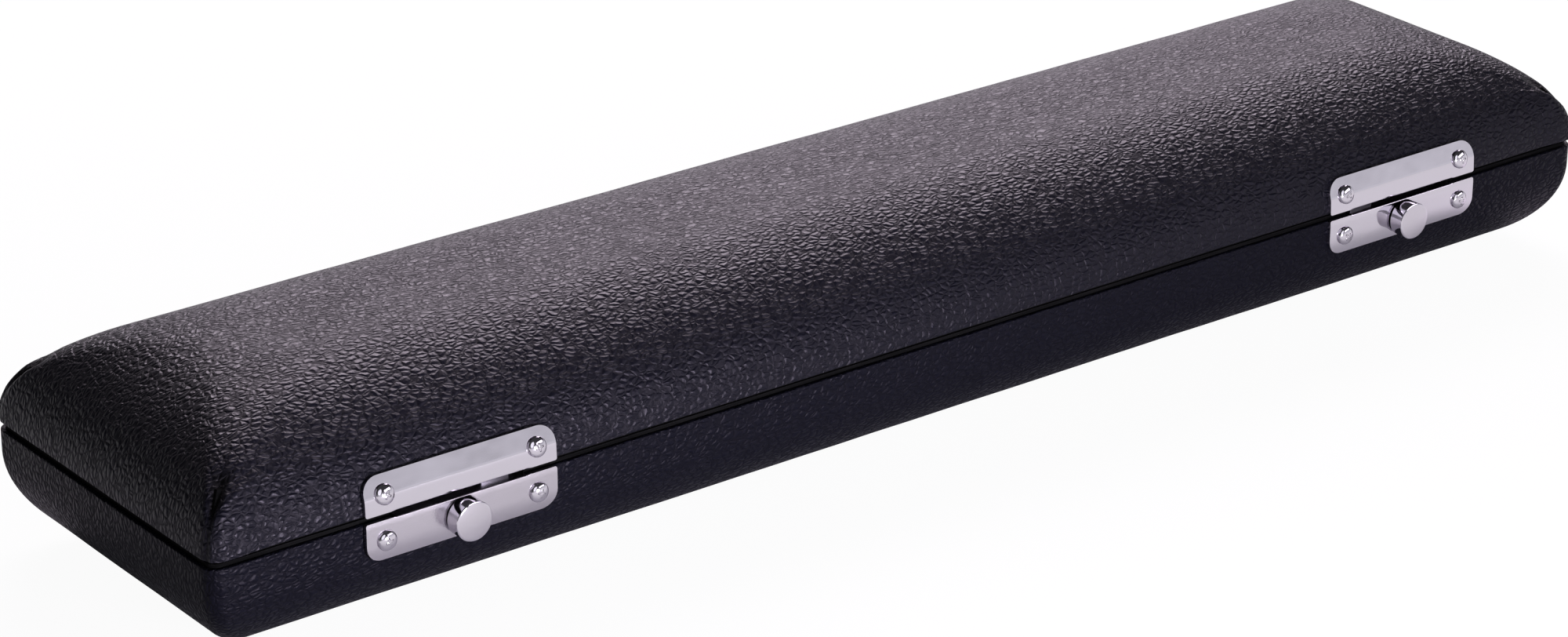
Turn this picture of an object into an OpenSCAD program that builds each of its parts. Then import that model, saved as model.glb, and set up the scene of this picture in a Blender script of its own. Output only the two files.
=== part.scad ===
// Flute case: a wooden box covered in leather, with a domed lid on two hinges at the back and
// two sliding latches at the front. X runs along the case, Y to the back, Z up. The origin is
// the middle of the underside. All sizes are in millimetres.

/* [Case] */
// Length of the case over the leather
case_length = 395; // [360:1:430]
// Width of the case over the leather, front to back
case_width = 90; // [84:1:110]
// Height of the closed case
case_height = 52.5; // [50:0.5:60]
// Height of the line where lid and base meet
seam_height = 26.5; // [25:0.5:30]
// Radius of the upright corners
corner_round = 3.8; // [2:0.1:8]
// Radius of the round along the bottom edges
base_round = 20.5; // [16:0.5:24]
// How much higher the dome rises than the radius of its lower, tighter bend
dome_crown_rise = 5.5; // [3.5:0.1:8]
// How far in from the side the dome becomes flat
dome_run = 34; // [30:0.5:40]
// Height of the upright strip of the lid above the seam
dome_start = 0.5; // [0:0.1:2]

/* [Walls] */
// Thickness of the leather
leather = 1.2; // [0.8:0.1:1.6]
// Thickness of the wooden walls
wall = 8; // [7:0.5:10]
// Thickness of the wooden floor
floor_board = 7; // [6:0.5:9]
// Thickness of the bent board that makes the dome
dome_board = 4; // [3:0.5:6]
// Thickness of the wadding at the middle of the dome
wadding = 7.3; // [5:0.1:9]
// Gap between the two wooden rims when the case is closed
rim_gap = 0.3; // [0.2:0.1:0.6]
// How far each leather edge stays back from the seam
leather_setback = 0.8; // [0.6:0.1:1.2]

/* [Lining] */
// Thickness of the plush pad on the floor
floor_pad = 1.5; // [1:0.5:4]
// Thickness of the plush panel under the lid
lid_pad = 2; // [1:0.5:4]
// Thickness of the plush on the lid's walls
wall_plush = 0.8; // [0.5:0.1:1.5]
// How far the tops of the rails lie below the base's rim
rail_drop = 1; // [0.5:0.5:4]
// Radius of the rounded tops of the rails
rail_round = 1.8; // [1:0.1:2.2]
// Width of the space for each row of joints
trench_width = 28; // [24:0.5:30]
// Width of the rail between the two rows
centre_rail = 6; // [5:0.5:9]
// Thickness of the blocks at the two ends of the body joint's space
end_block = 9.3; // [4:0.1:20]
// Length of the space for the head joint
head_space = 228; // [200:1:232]
// Thickness of the block between head joint and foot joint
divider = 8; // [5:0.5:12]

/* [Latches] */
// Distance from the end of the case to the middle of a latch
latch_from_end = 60.8; // [45:0.1:90]
// Width of the latch plates
plate_width = 48; // [46:0.5:60]
// Height of the plate on the lid
lid_plate_height = 8.7; // [8:0.1:10]
// Height of the plate on the base
base_plate_height = 9.1; // [8.6:0.1:10.5]
// Thickness of the plates and hinge leaves
plate = 1; // [0.8:0.1:1.2]
// Gap between the two plates of a latch
plate_gap = 1.5; // [1.2:0.1:2]
// Radius of the plates' outer corners
plate_corner = 4; // [1:0.1:4]
// Radius of the plates' corners at the seam
plate_seam_corner = 0.8; // [0.3:0.1:1.5]
// Diameter of the latch knob
knob_diameter = 9; // [8.5:0.1:9]
// How far the knob stands out from its plate
knob_proud = 4.4; // [3:0.1:6]
// Gap between the back of the knob and its plate
knob_gap = 0.4; // [0.3:0.1:0.6]
// Distance from the seam down to the middle of the knob
knob_drop = 5.1; // [4.9:0.1:5.3]
// Diameter of the knob's stem
stem_diameter = 2.6; // [2:0.1:2.6]
// Travel of the latch slide
slide_travel = 2.5; // [1.5:0.1:2.5]
// Clearance around the latch slide
slide_clearance = 0.3; // [0.2:0.05:0.4]
// Distance that the hook stands short of the notch in the tongue
hook_short = 0.2; // [0.1:0.05:0.4]
// Thickness of the wire of the latch spring
spring_wire = 0.3; // [0.2:0.05:0.4]
// Number of turns of the latch spring
spring_turns = 6; // [4:1:7]

/* [Screws] */
// Distance from the end of a latch plate to its screws
screw_inset = 4.9; // [4:0.1:5.5]
// Height of the lid's screws above the seam
lid_screw_rise = 5; // [4.5:0.1:5.5]
// Distance of the base's screws below the seam
base_screw_drop = 5.4; // [4.8:0.1:5.8]
// Diameter of the screw heads
head_diameter = 4.6; // [4:0.1:5]
// Height of the screw heads
head_height = 1.1; // [0.8:0.1:1.5]
// Diameter of the screws' shanks
shank_diameter = 2.2; // [1.6:0.1:2.6]
// Length of a screw under its head
screw_length = 7.5; // [5:0.5:8]

/* [Hinges] */
// Distance from the end of the case to the middle of a hinge
hinge_from_end = 60.8; // [45:0.1:90]
// Width of the hinges
hinge_width = 30; // [24:1:40]
// Height of a hinge leaf
leaf_height = 9.5; // [8.5:0.5:11]
// Distance from the back of the case to the hinge pin's axis
hinge_offset = 2.4; // [2.3:0.1:3]
// Diameter of the hinge knuckles
knuckle_diameter = 4; // [3.6:0.1:4.4]
// Diameter of the hinge pin
pin_diameter = 1.9; // [1.5:0.1:2.2]
// Clearance around the pin in the lid's knuckle
pin_clearance = 0.05; // [0.02:0.01:0.1]
// Thickness of the lip that stops the open lid
lip_thickness = 1; // [0.8:0.1:1.2]
// Gap left between the lip and the base's leaf when the lid is open
lip_clearance = 0.1; // [0.05:0.05:0.2]
// Gap between neighbouring knuckles
knuckle_gap = 0.3; // [0.2:0.1:0.5]
// Angle at which the hinge stops the open lid
open_angle = 105; // [100:1:110]

/* [Hidden] */
$fn = 64;

// Heights
base_rim = seam_height - rim_gap / 2;
lid_rim = seam_height + rim_gap / 2;
dome_spring = seam_height + dome_start;
dome_rise = case_height - dome_spring;
dome_side_round = dome_rise - dome_crown_rise;
floor_top = leather + floor_board;
ceiling = case_height - leather - dome_board - wadding;
pad_top = floor_top + floor_pad;
rail_top = base_rim - rail_drop;

// The dome is two arcs that meet smoothly: a tight one at the side and this wide one on top
dome_crown_round = (dome_run * dome_run + dome_rise * dome_rise - 2 * dome_run * dome_side_round)
    / (2 * dome_crown_rise);

// Room inside the walls
wall_inset = leather + wall;
inner_length = case_length - 2 * wall_inset;
inner_width = case_width - 2 * wall_inset;
side_rail = (inner_width - centre_rail) / 2 - trench_width;
trench_middle = (centre_rail + trench_width) / 2;
divider_left = -inner_length / 2 + head_space;

// Latch works, measured from the middle of the latch and from the front of the case
front = -case_width / 2;
lid_plate_low = seam_height + plate_gap / 2;
base_plate_high = seam_height - plate_gap / 2;
knob_height = seam_height - knob_drop;
pocket_half = plate_width / 2 - screw_inset - shank_diameter / 2 - 1.2;
pocket_depth = 5.3;
flange_half = pocket_half - slide_clearance;
flange_depth = pocket_depth - slide_clearance;
flange_under = base_plate_high - plate;
slide_front = front + 2 * slide_clearance;
slide_thickness = 1.4;
slide_back = slide_front + slide_thickness;
slide_height = 4.4;
hook_width = 1.5;
hook_height = 2;
tongue_left = 7;
tongue_width = 7;
tongue_thickness = 1.2;
tongue_front = slide_back + 2 * slide_clearance;
tongue_back = tongue_front + tongue_thickness;
tongue_tip = knob_height - hook_height / 2 - 1.6;
tongue_foot = 0.8;
swing_clearance = 0.4; // the tongue swings a little to the front as the lid lifts it out
notch_clearance = 0.4;
hook_right = tongue_left - hook_short;
hook_left = hook_right - hook_width;
slot_half = stem_diameter / 2 + slide_clearance * 2 / 3;
guide_wall = 0.8;
guide_right = hook_left - slide_travel - slide_clearance;
guide_left = -flange_half;
guide_half = slide_height / 2 + slide_clearance + guide_wall;
slide_left = -9;
spring_from = guide_left + guide_wall;
spring_space = slide_left - spring_from;
spring_radius = (slide_thickness + slide_clearance) / 2 - spring_wire / 2;
spring_end_gap = 0.05;

// Hinge works, measured at the back of the case
hinge_y = case_width / 2 + hinge_offset;
knuckle_length = (hinge_width - 2 * knuckle_gap) / 3;
leaf_setback = 0.3;
// Reach of the lip from the pin's axis, so that its edge meets the base's leaf at the open angle
lip_reach = (hinge_offset - plate - lip_clearance - lip_thickness / 2 * sin(open_angle))
    / -cos(open_angle);
leaf_screw_out = hinge_width * 0.3;
leaf_screw_away = leaf_height * 0.62;

// A slice of a disc between two angles less than 120 degrees apart
module slice(centre, r, from, to) {
    middle = (from + to) / 2;
    translate(centre) intersection() {
        circle(r);
        polygon([[0, 0], 3 * r * [cos(from), sin(from)], 3 * r * [cos(middle), sin(middle)],
            3 * r * [cos(to), sin(to)]]);
    }
}

// A rectangle between two corners
module box2(low, high) {
    translate(low) square(high - low);
}

// A block between two corners
module block(low, high) {
    translate(low) cube(high - low);
}

// Cross-section of the base for a side-to-side size, cut off at a height, and with its whole
// outline moved in by an inset
module base_section(size, top, inset = 0) {
    half = size / 2;
    for (side = [0, 1]) mirror([side, 0]) {
        slice([half - base_round, base_round], base_round - inset, -90, 0);
        box2([0, inset], [half - base_round, top]);
        box2([half - base_round, base_round], [half - inset, top]);
    }
}

// Points along an arc, both ends included
function arc(centre, r, from, to, steps) =
    [for (i = [0 : steps]) let (a = from + (to - from) * i / steps) centre + r * [cos(a), sin(a)]];

// Cross-section of the lid, from a height upwards
module lid_section(size, bottom, inset = 0) {
    half = size / 2;
    low = [half - dome_side_round, dome_spring];
    high = [half - dome_run, case_height - dome_crown_round];
    lean = atan2(low.y - high.y, low.x - high.x);
    right = concat([[half - inset, seam_height - plate_gap]],
        arc(low, dome_side_round - inset, 0, lean, 14),
        arc(high, dome_crown_round - inset, lean + 3, 90, 10));
    left = [for (i = [len(right) - 1 : -1 : 0]) [-right[i].x, right[i].y]];
    intersection() {
        box2([-size, bottom], [size, 2 * case_height]);
        polygon(concat(right, left));
    }
}

// Plan of the case with its upright corners rounded
module plan(inset = 0) {
    size = [case_length, case_width] / 2 - [inset, inset];
    r = corner_round - inset;
    box2([-size.x, r - size.y], [size.x, size.y - r]);
    box2([r - size.x, -size.y], [size.x - r, size.y]);
    for (x = [-1, 1], y = [-1, 1])
        translate([x * (size.x - r), y * (size.y - r)]) circle(r);
}

// Stand a cross-section up and run it along X, or along Y
module along_x(length) {
    rotate([90, 0, 90]) linear_extrude(length, center = true) children();
}

module along_y(length) {
    rotate([90, 0, 0]) linear_extrude(length, center = true) children();
}

// The full outer form of the base and of the lid, moved in by an inset
module base_form(top, inset = 0) {
    intersection() {
        along_x(case_length) base_section(case_width, top, inset);
        along_y(case_width) base_section(case_length, top, inset);
        linear_extrude(case_height) plan(inset);
    }
}

module lid_form(bottom, inset = 0) {
    intersection() {
        along_x(case_length) lid_section(case_width, bottom, inset);
        along_y(case_width) lid_section(case_length, bottom, inset);
        linear_extrude(case_height + 1) plan(min(inset, corner_round - 0.5));
    }
}

// The walls of the base and of the lid, each a length of the form cut square
module front_wall_room(low, high) {
    block([-case_length, -case_width, low], [case_length, -inner_width / 2, high]);
}

module left_end_room(low, high) {
    block([-case_length, -inner_width / 2, low], [-inner_length / 2, inner_width / 2, high]);
}

// Lean of the case's side at a height, and how far the side has curved in there
function base_lean(z) = z < base_round ? asin((base_round - z) / base_round) : 0;
function lid_lean(z) = z > dome_spring ? asin((z - dome_spring) / dome_side_round) : 0;
function base_curve(z) = base_round * (1 - cos(base_lean(z)));
function lid_curve(z) = dome_side_round * (1 - cos(lid_lean(z)));

// Put children on the front of the base or the lid, with their Z axis pointing out of it
module on_base(x, z) {
    translate([x, front + base_curve(z), z]) rotate([90 + base_lean(z), 0, 0]) children();
}

module on_lid(x, z) {
    translate([x, front + lid_curve(z), z]) rotate([90 - lid_lean(z), 0, 0]) children();
}

// Screw with a rounded head and a crossed recess, seated on a plate
module screw() {
    dome = 4;
    recess = [0.5, 2.5, 0.6];
    translate([0, 0, plate]) difference() {
        union() {
            intersection() {
                cylinder(h = head_height, d = head_diameter);
                translate([0, 0, head_height - dome]) sphere(dome);
            }
            translate([0, 0, plate - screw_length - plate])
                cylinder(h = screw_length, d = shank_diameter);
        }
        for (turn = [0, 90]) rotate(turn)
            translate([0, 0, head_height]) cube([recess.x, recess.y, 2 * recess.z], center = true);
    }
}

// The hole that a screw cuts through plate, leather and wood
module screw_hole() {
    translate([0, 0, plate - screw_length]) cylinder(h = screw_length + 1, d = shank_diameter);
}

// Places of the latches (mirrored left and right) and of the hinges
module at_latch(side) {
    mirror([side > 0 ? 1 : 0, 0, 0]) translate([latch_from_end - case_length / 2, 0, 0])
        children();
}

module at_hinge(side) {
    translate([side * (case_length / 2 - hinge_from_end), 0, 0]) children();
}

module on_lid_latch() {
    for (x = [-1, 1]) on_lid(x * (plate_width / 2 - screw_inset), seam_height + lid_screw_rise)
        children();
}

module on_base_latch() {
    for (x = [-1, 1]) on_base(x * (plate_width / 2 - screw_inset), seam_height - base_screw_drop)
        children();
}

module on_lid_leaf() {
    mirror([0, 1, 0]) for (x = [-1, 1]) on_lid(x * leaf_screw_out, seam_height + leaf_screw_away)
        children();
}

module on_base_leaf() {
    mirror([0, 1, 0]) for (x = [-1, 1])
        on_base(x * leaf_screw_out, seam_height - leaf_screw_away) children();
}

// Recesses that the latch works need in the base and in the lid
module base_latch_pocket() {
    for (side = [-1, 1]) at_latch(side) {
        block([-pocket_half, front - 1, knob_height - guide_half - slide_clearance],
            [pocket_half, front + pocket_depth, flange_under + plate / 2]);
        block([-pocket_half, front - 1, flange_under],
            [pocket_half, front + pocket_depth, seam_height]);
    }
}

module lid_latch_pocket() {
    for (side = [-1, 1]) at_latch(side)
        block([-pocket_half, front - 1, seam_height],
            [pocket_half, front + pocket_depth,
                lid_plate_low + plate + tongue_foot + slide_clearance]);
}

module base_cuts() {
    base_latch_pocket();
    for (side = [-1, 1]) {
        at_latch(side) on_base_latch() screw_hole();
        at_hinge(side) on_base_leaf() screw_hole();
    }
}

module lid_cuts() {
    lid_latch_pocket();
    for (side = [-1, 1]) {
        at_latch(side) on_lid_latch() screw_hole();
        at_hinge(side) on_lid_leaf() screw_hole();
    }
}

// Base boards
module base_wood() {
    difference() {
        base_form(base_rim, leather);
        base_cuts();
    }
}

module base_floor() {
    color([0.13, 0.12, 0.12]) intersection() {
        base_form(base_rim, leather);
        block([-case_length, -case_width, 0], [case_length, case_width, floor_top]);
    }
}

module base_front_wall() {
    color([0.13, 0.12, 0.12]) intersection() {
        base_wood();
        front_wall_room(floor_top, base_rim);
    }
}

module base_back_wall() {
    color([0.13, 0.12, 0.12]) intersection() {
        base_wood();
        mirror([0, 1, 0]) front_wall_room(floor_top, base_rim);
    }
}

module base_left_end() {
    color([0.13, 0.12, 0.12]) intersection() {
        base_form(base_rim, leather);
        left_end_room(floor_top, base_rim);
    }
}

module base_right_end() {
    color([0.13, 0.12, 0.12]) mirror([1, 0, 0]) intersection() {
        base_form(base_rim, leather);
        left_end_room(floor_top, base_rim);
    }
}

// Leather of the base: a skin over the boards, and a flat panel let in under the floor
module panel_room() {
    size = [case_length / 2 - base_round, case_width / 2 - base_round];
    block([-size.x, -size.y, 0], [size.x, size.y, leather]);
}

module base_cover() {
    color([0.1, 0.1, 0.12]) difference() {
        base_form(seam_height - leather_setback);
        base_form(seam_height, leather);
        panel_room();
        base_cuts();
    }
}

module bottom_panel() {
    color([0.1, 0.1, 0.12]) panel_room();
}

// Plush-covered insert
module rail_section(width) {
    half = width / 2;
    r = min(rail_round, half);
    box2([-half, pad_top], [half, rail_top - r]);
    box2([r - half, pad_top], [half - r, rail_top]);
    for (x = [r - half, half - r]) translate([x, rail_top - r]) circle(r);
}

module insert_floor_pad() {
    color("midnightblue")
        block([-inner_length / 2, -inner_width / 2, floor_top],
            [inner_length / 2, inner_width / 2, pad_top]);
}

module insert_front_rail() {
    color("midnightblue") translate([0, (side_rail - inner_width) / 2, 0])
        along_x(inner_length) rail_section(side_rail);
}

module insert_centre_rail() {
    color("midnightblue") along_x(inner_length) rail_section(centre_rail);
}

module insert_back_rail() {
    color("midnightblue") translate([0, (inner_width - side_rail) / 2, 0])
        along_x(inner_length) rail_section(side_rail);
}

module insert_left_block() {
    color("midnightblue") translate([(end_block - inner_length) / 2, trench_middle, 0])
        along_y(trench_width) rail_section(end_block);
}

module insert_right_block() {
    color("midnightblue") translate([(inner_length - end_block) / 2, trench_middle, 0])
        along_y(trench_width) rail_section(end_block);
}

module insert_divider() {
    color("midnightblue") translate([divider_left + divider / 2, -trench_middle, 0])
        along_y(trench_width) rail_section(divider);
}

// Lid boards
module lid_wood() {
    difference() {
        lid_form(lid_rim, leather);
        lid_cuts();
    }
}

module lid_dome() {
    color([0.13, 0.12, 0.12]) difference() {
        lid_form(ceiling, leather);
        lid_form(ceiling - 1, leather + dome_board);
    }
}

module lid_front_wall() {
    color([0.13, 0.12, 0.12]) intersection() {
        lid_wood();
        front_wall_room(lid_rim, ceiling);
    }
}

module lid_back_wall() {
    color([0.13, 0.12, 0.12]) intersection() {
        lid_wood();
        mirror([0, 1, 0]) front_wall_room(lid_rim, ceiling);
    }
}

module lid_left_end() {
    color([0.13, 0.12, 0.12]) intersection() {
        lid_form(lid_rim, leather);
        left_end_room(lid_rim, ceiling);
    }
}

module lid_right_end() {
    color([0.13, 0.12, 0.12]) mirror([1, 0, 0]) intersection() {
        lid_form(lid_rim, leather);
        left_end_room(lid_rim, ceiling);
    }
}

// Leather of the lid
module lid_cover() {
    color([0.1, 0.1, 0.12]) difference() {
        lid_form(seam_height + leather_setback);
        lid_form(seam_height, leather);
        lid_cuts();
    }
}

// Wadding that fills the dome, and the plush lining under it
module lid_wadding() {
    color("ivory") lid_form(ceiling, leather + dome_board);
}

module lid_pad() {
    size = [inner_length, inner_width] / 2 - [wall_plush, wall_plush];
    color("midnightblue") block([-size.x, -size.y, ceiling - lid_pad], [size.x, size.y, ceiling]);
}

module lid_wall_lining() {
    size = [inner_length, inner_width] / 2;
    room = size - [wall_plush, wall_plush];
    color("midnightblue") difference() {
        block([-size.x, -size.y, lid_rim + rail_drop], [size.x, size.y, ceiling]);
        block([-room.x, -room.y, lid_rim], [room.x, room.y, ceiling + 1]);
    }
}

// Outline of a latch plate that stands on the seam, its outer corners rounder than its lower ones
module plate_outline(height) {
    half = plate_width / 2;
    r = plate_corner;
    s = plate_seam_corner;
    for (side = [0, 1]) mirror([side, 0]) {
        box2([0, 0], [half - s, height - r]);
        box2([half - s - 0.01, s], [half, height - r]);
        box2([0, height - r - 0.01], [half - r, height]);
        translate([half - s, s]) circle(s);
        translate([half - r, height - r]) circle(r);
    }
}

// Sheet metal of one plate thickness that lies on the side of the base or of the lid
module base_sheet(width) {
    along_x(width) difference() {
        base_section(case_width, seam_height, -plate);
        base_section(case_width, case_height);
    }
}

module lid_sheet(width) {
    along_x(width) difference() {
        lid_section(case_width, seam_height, -plate);
        lid_section(case_width, seam_height - 1);
    }
}

// Cut that keeps only the front of a sheet inside an outline drawn in X and Z
module front_cut() {
    translate([0, front / 2, 0]) rotate([90, 0, 0]) linear_extrude(case_width) children();
}

module tongue_slot(clearance, swing, low, high) {
    block([tongue_left - clearance, tongue_front - swing - clearance, low],
        [tongue_left + tongue_width + clearance, tongue_back + clearance, high]);
}

// Plate on the lid, folded in along the seam, with the slot that the tongue hangs through
module lid_plate_shape() {
    difference() {
        union() {
            intersection() {
                lid_sheet(plate_width);
                front_cut() translate([0, lid_plate_low]) plate_outline(lid_plate_height);
            }
            block([-flange_half, front - plate, lid_plate_low],
                [flange_half, front + flange_depth, lid_plate_low + plate]);
        }
        tongue_slot(0, 0, lid_plate_low - 1, lid_plate_low + plate + 1);
        on_lid_latch() screw_hole();
    }
}

// Tongue that hangs from the lid's plate, with a notch in its side for the hook
module tongue_shape() {
    difference() {
        union() {
            tongue_slot(0, 0, tongue_tip, lid_plate_low + plate);
            block([tongue_left - 2, front + leather + slide_clearance, lid_plate_low + plate],
                [tongue_left + tongue_width + 1, tongue_back, lid_plate_low + plate + tongue_foot]);
        }
        block([tongue_left - 1, tongue_front - 1, knob_height - hook_height / 2 - notch_clearance],
            [tongue_left + hook_width + notch_clearance, tongue_back + 1,
                knob_height + hook_height / 2 + notch_clearance]);
    }
}

// Plate on the base, folded in along the seam, with a slot for the knob's stem
module base_plate_shape() {
    difference() {
        union() {
            intersection() {
                base_sheet(plate_width);
                front_cut() translate([0, base_plate_high]) mirror([0, 1])
                    plate_outline(base_plate_height);
            }
            block([-flange_half, front - plate, flange_under],
                [flange_half, front + flange_depth, base_plate_high]);
        }
        tongue_slot(slide_clearance, swing_clearance, flange_under - 1, base_plate_high + 1);
        on_base_latch() screw_hole();
        front_cut() translate([0, knob_height]) {
            box2([-slide_travel, -slot_half], [0, slot_half]);
            for (x = [-slide_travel, 0]) translate([x, 0]) circle(slot_half);
        }
    }
}

// Channel behind the base's plate that guides the slide and holds its spring
module guide_shape() {
    intersection() {
        base_form(seam_height);
        difference() {
            block([guide_left, front - 1, knob_height - guide_half],
                [guide_right, slide_back + slide_clearance + guide_wall,
                    min(knob_height + guide_half, flange_under)]);
            block([guide_left + guide_wall, front - 2, knob_height - guide_half + guide_wall],
                [guide_right + 1, slide_back + slide_clearance,
                    knob_height + guide_half - guide_wall]);
        }
    }
}

// Slide with the hook on its right end and the hole that holds the knob's stem
module slide_shape() {
    difference() {
        union() {
            block([slide_left, slide_front, knob_height - slide_height / 2],
                [hook_right, slide_back, knob_height + slide_height / 2]);
            block([hook_left, slide_front, knob_height - hook_height / 2],
                [hook_right, tongue_back + slide_clearance, knob_height + hook_height / 2]);
        }
        translate([0, 2 * front, knob_height]) rotate([-90, 0, 0])
            cylinder(h = case_width, d = stem_diameter);
    }
}

// Knob: a flat-faced button with a small bevel, and the stem behind it
module knob_shape() {
    bevel = 0.35;
    rim = knob_diameter / 2;
    face = knob_proud - bevel;
    translate([0, front - plate, knob_height]) rotate([90, 0, 0]) {
        translate([0, 0, knob_gap]) cylinder(h = face - knob_gap, r = rim);
        translate([0, 0, face]) cylinder(h = bevel, r1 = rim, r2 = rim - bevel);
        translate([0, 0, front - plate - slide_back])
            cylinder(h = knob_gap + slide_back - front + plate, d = stem_diameter);
    }
}

// Coil spring between the guide's closed end and the slide
spring_sides = 6;
spring_steps = 12;
spring_length = spring_space - 2 * spring_end_gap;
spring_rings = spring_turns * spring_steps + 1;

function spring_point(ring, side) =
    let (turn = 360 * ring / spring_steps, around = 360 * side / spring_sides,
        reach = spring_radius + spring_wire / 2 * cos(around),
        rise = (spring_length - spring_wire) * ring / (spring_rings - 1))
    [spring_wire / 2 + rise + spring_wire / 2 * sin(around), reach * cos(turn), reach * sin(turn)];

module spring_shape() {
    last = (spring_rings - 1) * spring_sides;
    points = [for (ring = [0 : spring_rings - 1], side = [0 : spring_sides - 1])
        spring_point(ring, side)];
    walls = [for (ring = [0 : spring_rings - 2], side = [0 : spring_sides - 1])
        let (next = (side + 1) % spring_sides, a = ring * spring_sides, b = a + spring_sides)
        [a + side, b + side, b + next, a + next]];
    ends = [[for (side = [0 : spring_sides - 1]) side],
        [for (side = [spring_sides - 1 : -1 : 0]) last + side]];
    translate([spring_from + spring_end_gap, (slide_front + slide_back) / 2, knob_height])
        polyhedron(points, concat(walls, ends));
}

module latch_left_lid_plate() { color("silver") at_latch(-1) lid_plate_shape(); }
module latch_left_tongue() { color("gray") at_latch(-1) tongue_shape(); }
module latch_left_lid_screws() { color("silver") at_latch(-1) on_lid_latch() screw(); }
module latch_left_base_plate() { color("silver") at_latch(-1) base_plate_shape(); }
module latch_left_guide() { color("gray") at_latch(-1) guide_shape(); }
module latch_left_spring() { color("gray") at_latch(-1) spring_shape(); }
module latch_left_base_screws() { color("silver") at_latch(-1) on_base_latch() screw(); }
module latch_left_slide() { color("gray") at_latch(-1) slide_shape(); }
module latch_left_knob() { color("silver") at_latch(-1) knob_shape(); }
module latch_right_lid_plate() { color("silver") at_latch(1) lid_plate_shape(); }
module latch_right_tongue() { color("gray") at_latch(1) tongue_shape(); }
module latch_right_lid_screws() { color("silver") at_latch(1) on_lid_latch() screw(); }
module latch_right_base_plate() { color("silver") at_latch(1) base_plate_shape(); }
module latch_right_guide() { color("gray") at_latch(1) guide_shape(); }
module latch_right_spring() { color("gray") at_latch(1) spring_shape(); }
module latch_right_base_screws() { color("silver") at_latch(1) on_base_latch() screw(); }
module latch_right_slide() { color("gray") at_latch(1) slide_shape(); }
module latch_right_knob() { color("silver") at_latch(1) knob_shape(); }

// Hinges: cylinder on the pin's axis between two places along it
module on_pin(from, to, r) {
    translate([from, hinge_y, seam_height]) rotate([0, 90, 0]) cylinder(h = to - from, r = r);
}

// Leaf of curved sheet, cut clear of the other leaf's knuckles. Its knuckle places are given as
// pairs of ends, and above is true for the leaf on the lid.
module leaf_shape(own, other, above, bore) {
    way = above ? 1 : -1;
    low = leaf_setback;
    difference() {
        union() {
            mirror([0, 1, 0]) intersection() {
                if (above) lid_sheet(hinge_width); else base_sheet(hinge_width);
                front_cut() translate([-hinge_width / 2, seam_height])
                    mirror([0, above ? 0 : 1]) box2([0, low], [hinge_width, leaf_height + low]);
            }
            for (ends = own) {
                on_pin(ends[0], ends[1], knuckle_diameter / 2);
                translate([0, 0, seam_height]) mirror([0, 0, above ? 0 : 1])
                    block([ends[0], hinge_y - hinge_offset, low],
                        [ends[1], hinge_y, knuckle_diameter / 2]);
            }
        }
        for (ends = other)
            on_pin(ends[0] - knuckle_gap, ends[1] + knuckle_gap,
                knuckle_diameter / 2 + knuckle_gap);
        on_pin(-hinge_width, hinge_width, bore);
    }
}

outer_knuckles = [
    [-hinge_width / 2, knuckle_length - hinge_width / 2],
    [hinge_width / 2 - knuckle_length, hinge_width / 2]
];
middle_knuckle = [[-knuckle_length / 2, knuckle_length / 2]];

module base_leaf_shape() {
    difference() {
        leaf_shape(outer_knuckles, middle_knuckle, false, pin_diameter / 2);
        on_base_leaf() screw_hole();
    }
}

// The lid's knuckle has a lip that meets the base's leaf when the lid is open
module lid_leaf_shape() {
    difference() {
        union() {
            leaf_shape(middle_knuckle, outer_knuckles, true, pin_diameter / 2 + pin_clearance);
            difference() {
                block([-knuckle_length / 2, hinge_y, seam_height - lip_thickness / 2],
                    [knuckle_length / 2, hinge_y + lip_reach, seam_height + lip_thickness / 2]);
                on_pin(-hinge_width, hinge_width, knuckle_diameter / 2 - lip_thickness / 2);
            }
        }
        on_lid_leaf() screw_hole();
    }
}

module pin_shape() {
    on_pin(-hinge_width / 2, hinge_width / 2, pin_diameter / 2);
}

module hinge_left_base_leaf() { color("silver") at_hinge(-1) base_leaf_shape(); }
module hinge_left_lid_leaf() { color("silver") at_hinge(-1) lid_leaf_shape(); }
module hinge_left_pin() { color("gray") at_hinge(-1) pin_shape(); }
module hinge_left_base_screws() { color("silver") at_hinge(-1) on_base_leaf() screw(); }
module hinge_left_lid_screws() { color("silver") at_hinge(-1) on_lid_leaf() screw(); }
module hinge_right_base_leaf() { color("silver") at_hinge(1) base_leaf_shape(); }
module hinge_right_lid_leaf() { color("silver") at_hinge(1) lid_leaf_shape(); }
module hinge_right_pin() { color("gray") at_hinge(1) pin_shape(); }
module hinge_right_base_screws() { color("silver") at_hinge(1) on_base_leaf() screw(); }
module hinge_right_lid_screws() { color("silver") at_hinge(1) on_lid_leaf() screw(); }

base_floor();
base_front_wall();
base_back_wall();
base_left_end();
base_right_end();
base_cover();
bottom_panel();
insert_floor_pad();
insert_front_rail();
insert_centre_rail();
insert_back_rail();
insert_left_block();
insert_right_block();
insert_divider();
lid_dome();
lid_front_wall();
lid_back_wall();
lid_left_end();
lid_right_end();
lid_cover();
lid_wadding();
lid_pad();
lid_wall_lining();
latch_left_lid_plate();
latch_left_tongue();
latch_left_lid_screws();
latch_left_base_plate();
latch_left_guide();
latch_left_spring();
latch_left_base_screws();
latch_left_slide();
latch_left_knob();
latch_right_lid_plate();
latch_right_tongue();
latch_right_lid_screws();
latch_right_base_plate();
latch_right_guide();
latch_right_spring();
latch_right_base_screws();
latch_right_slide();
latch_right_knob();
hinge_left_base_leaf();
hinge_left_lid_leaf();
hinge_left_pin();
hinge_left_base_screws();
hinge_left_lid_screws();
hinge_right_base_leaf();
hinge_right_lid_leaf();
hinge_right_pin();
hinge_right_base_screws();
hinge_right_lid_screws();
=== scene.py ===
import math

import bmesh
import bpy
from mathutils import Matrix, Quaternion, Vector, noise


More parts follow.
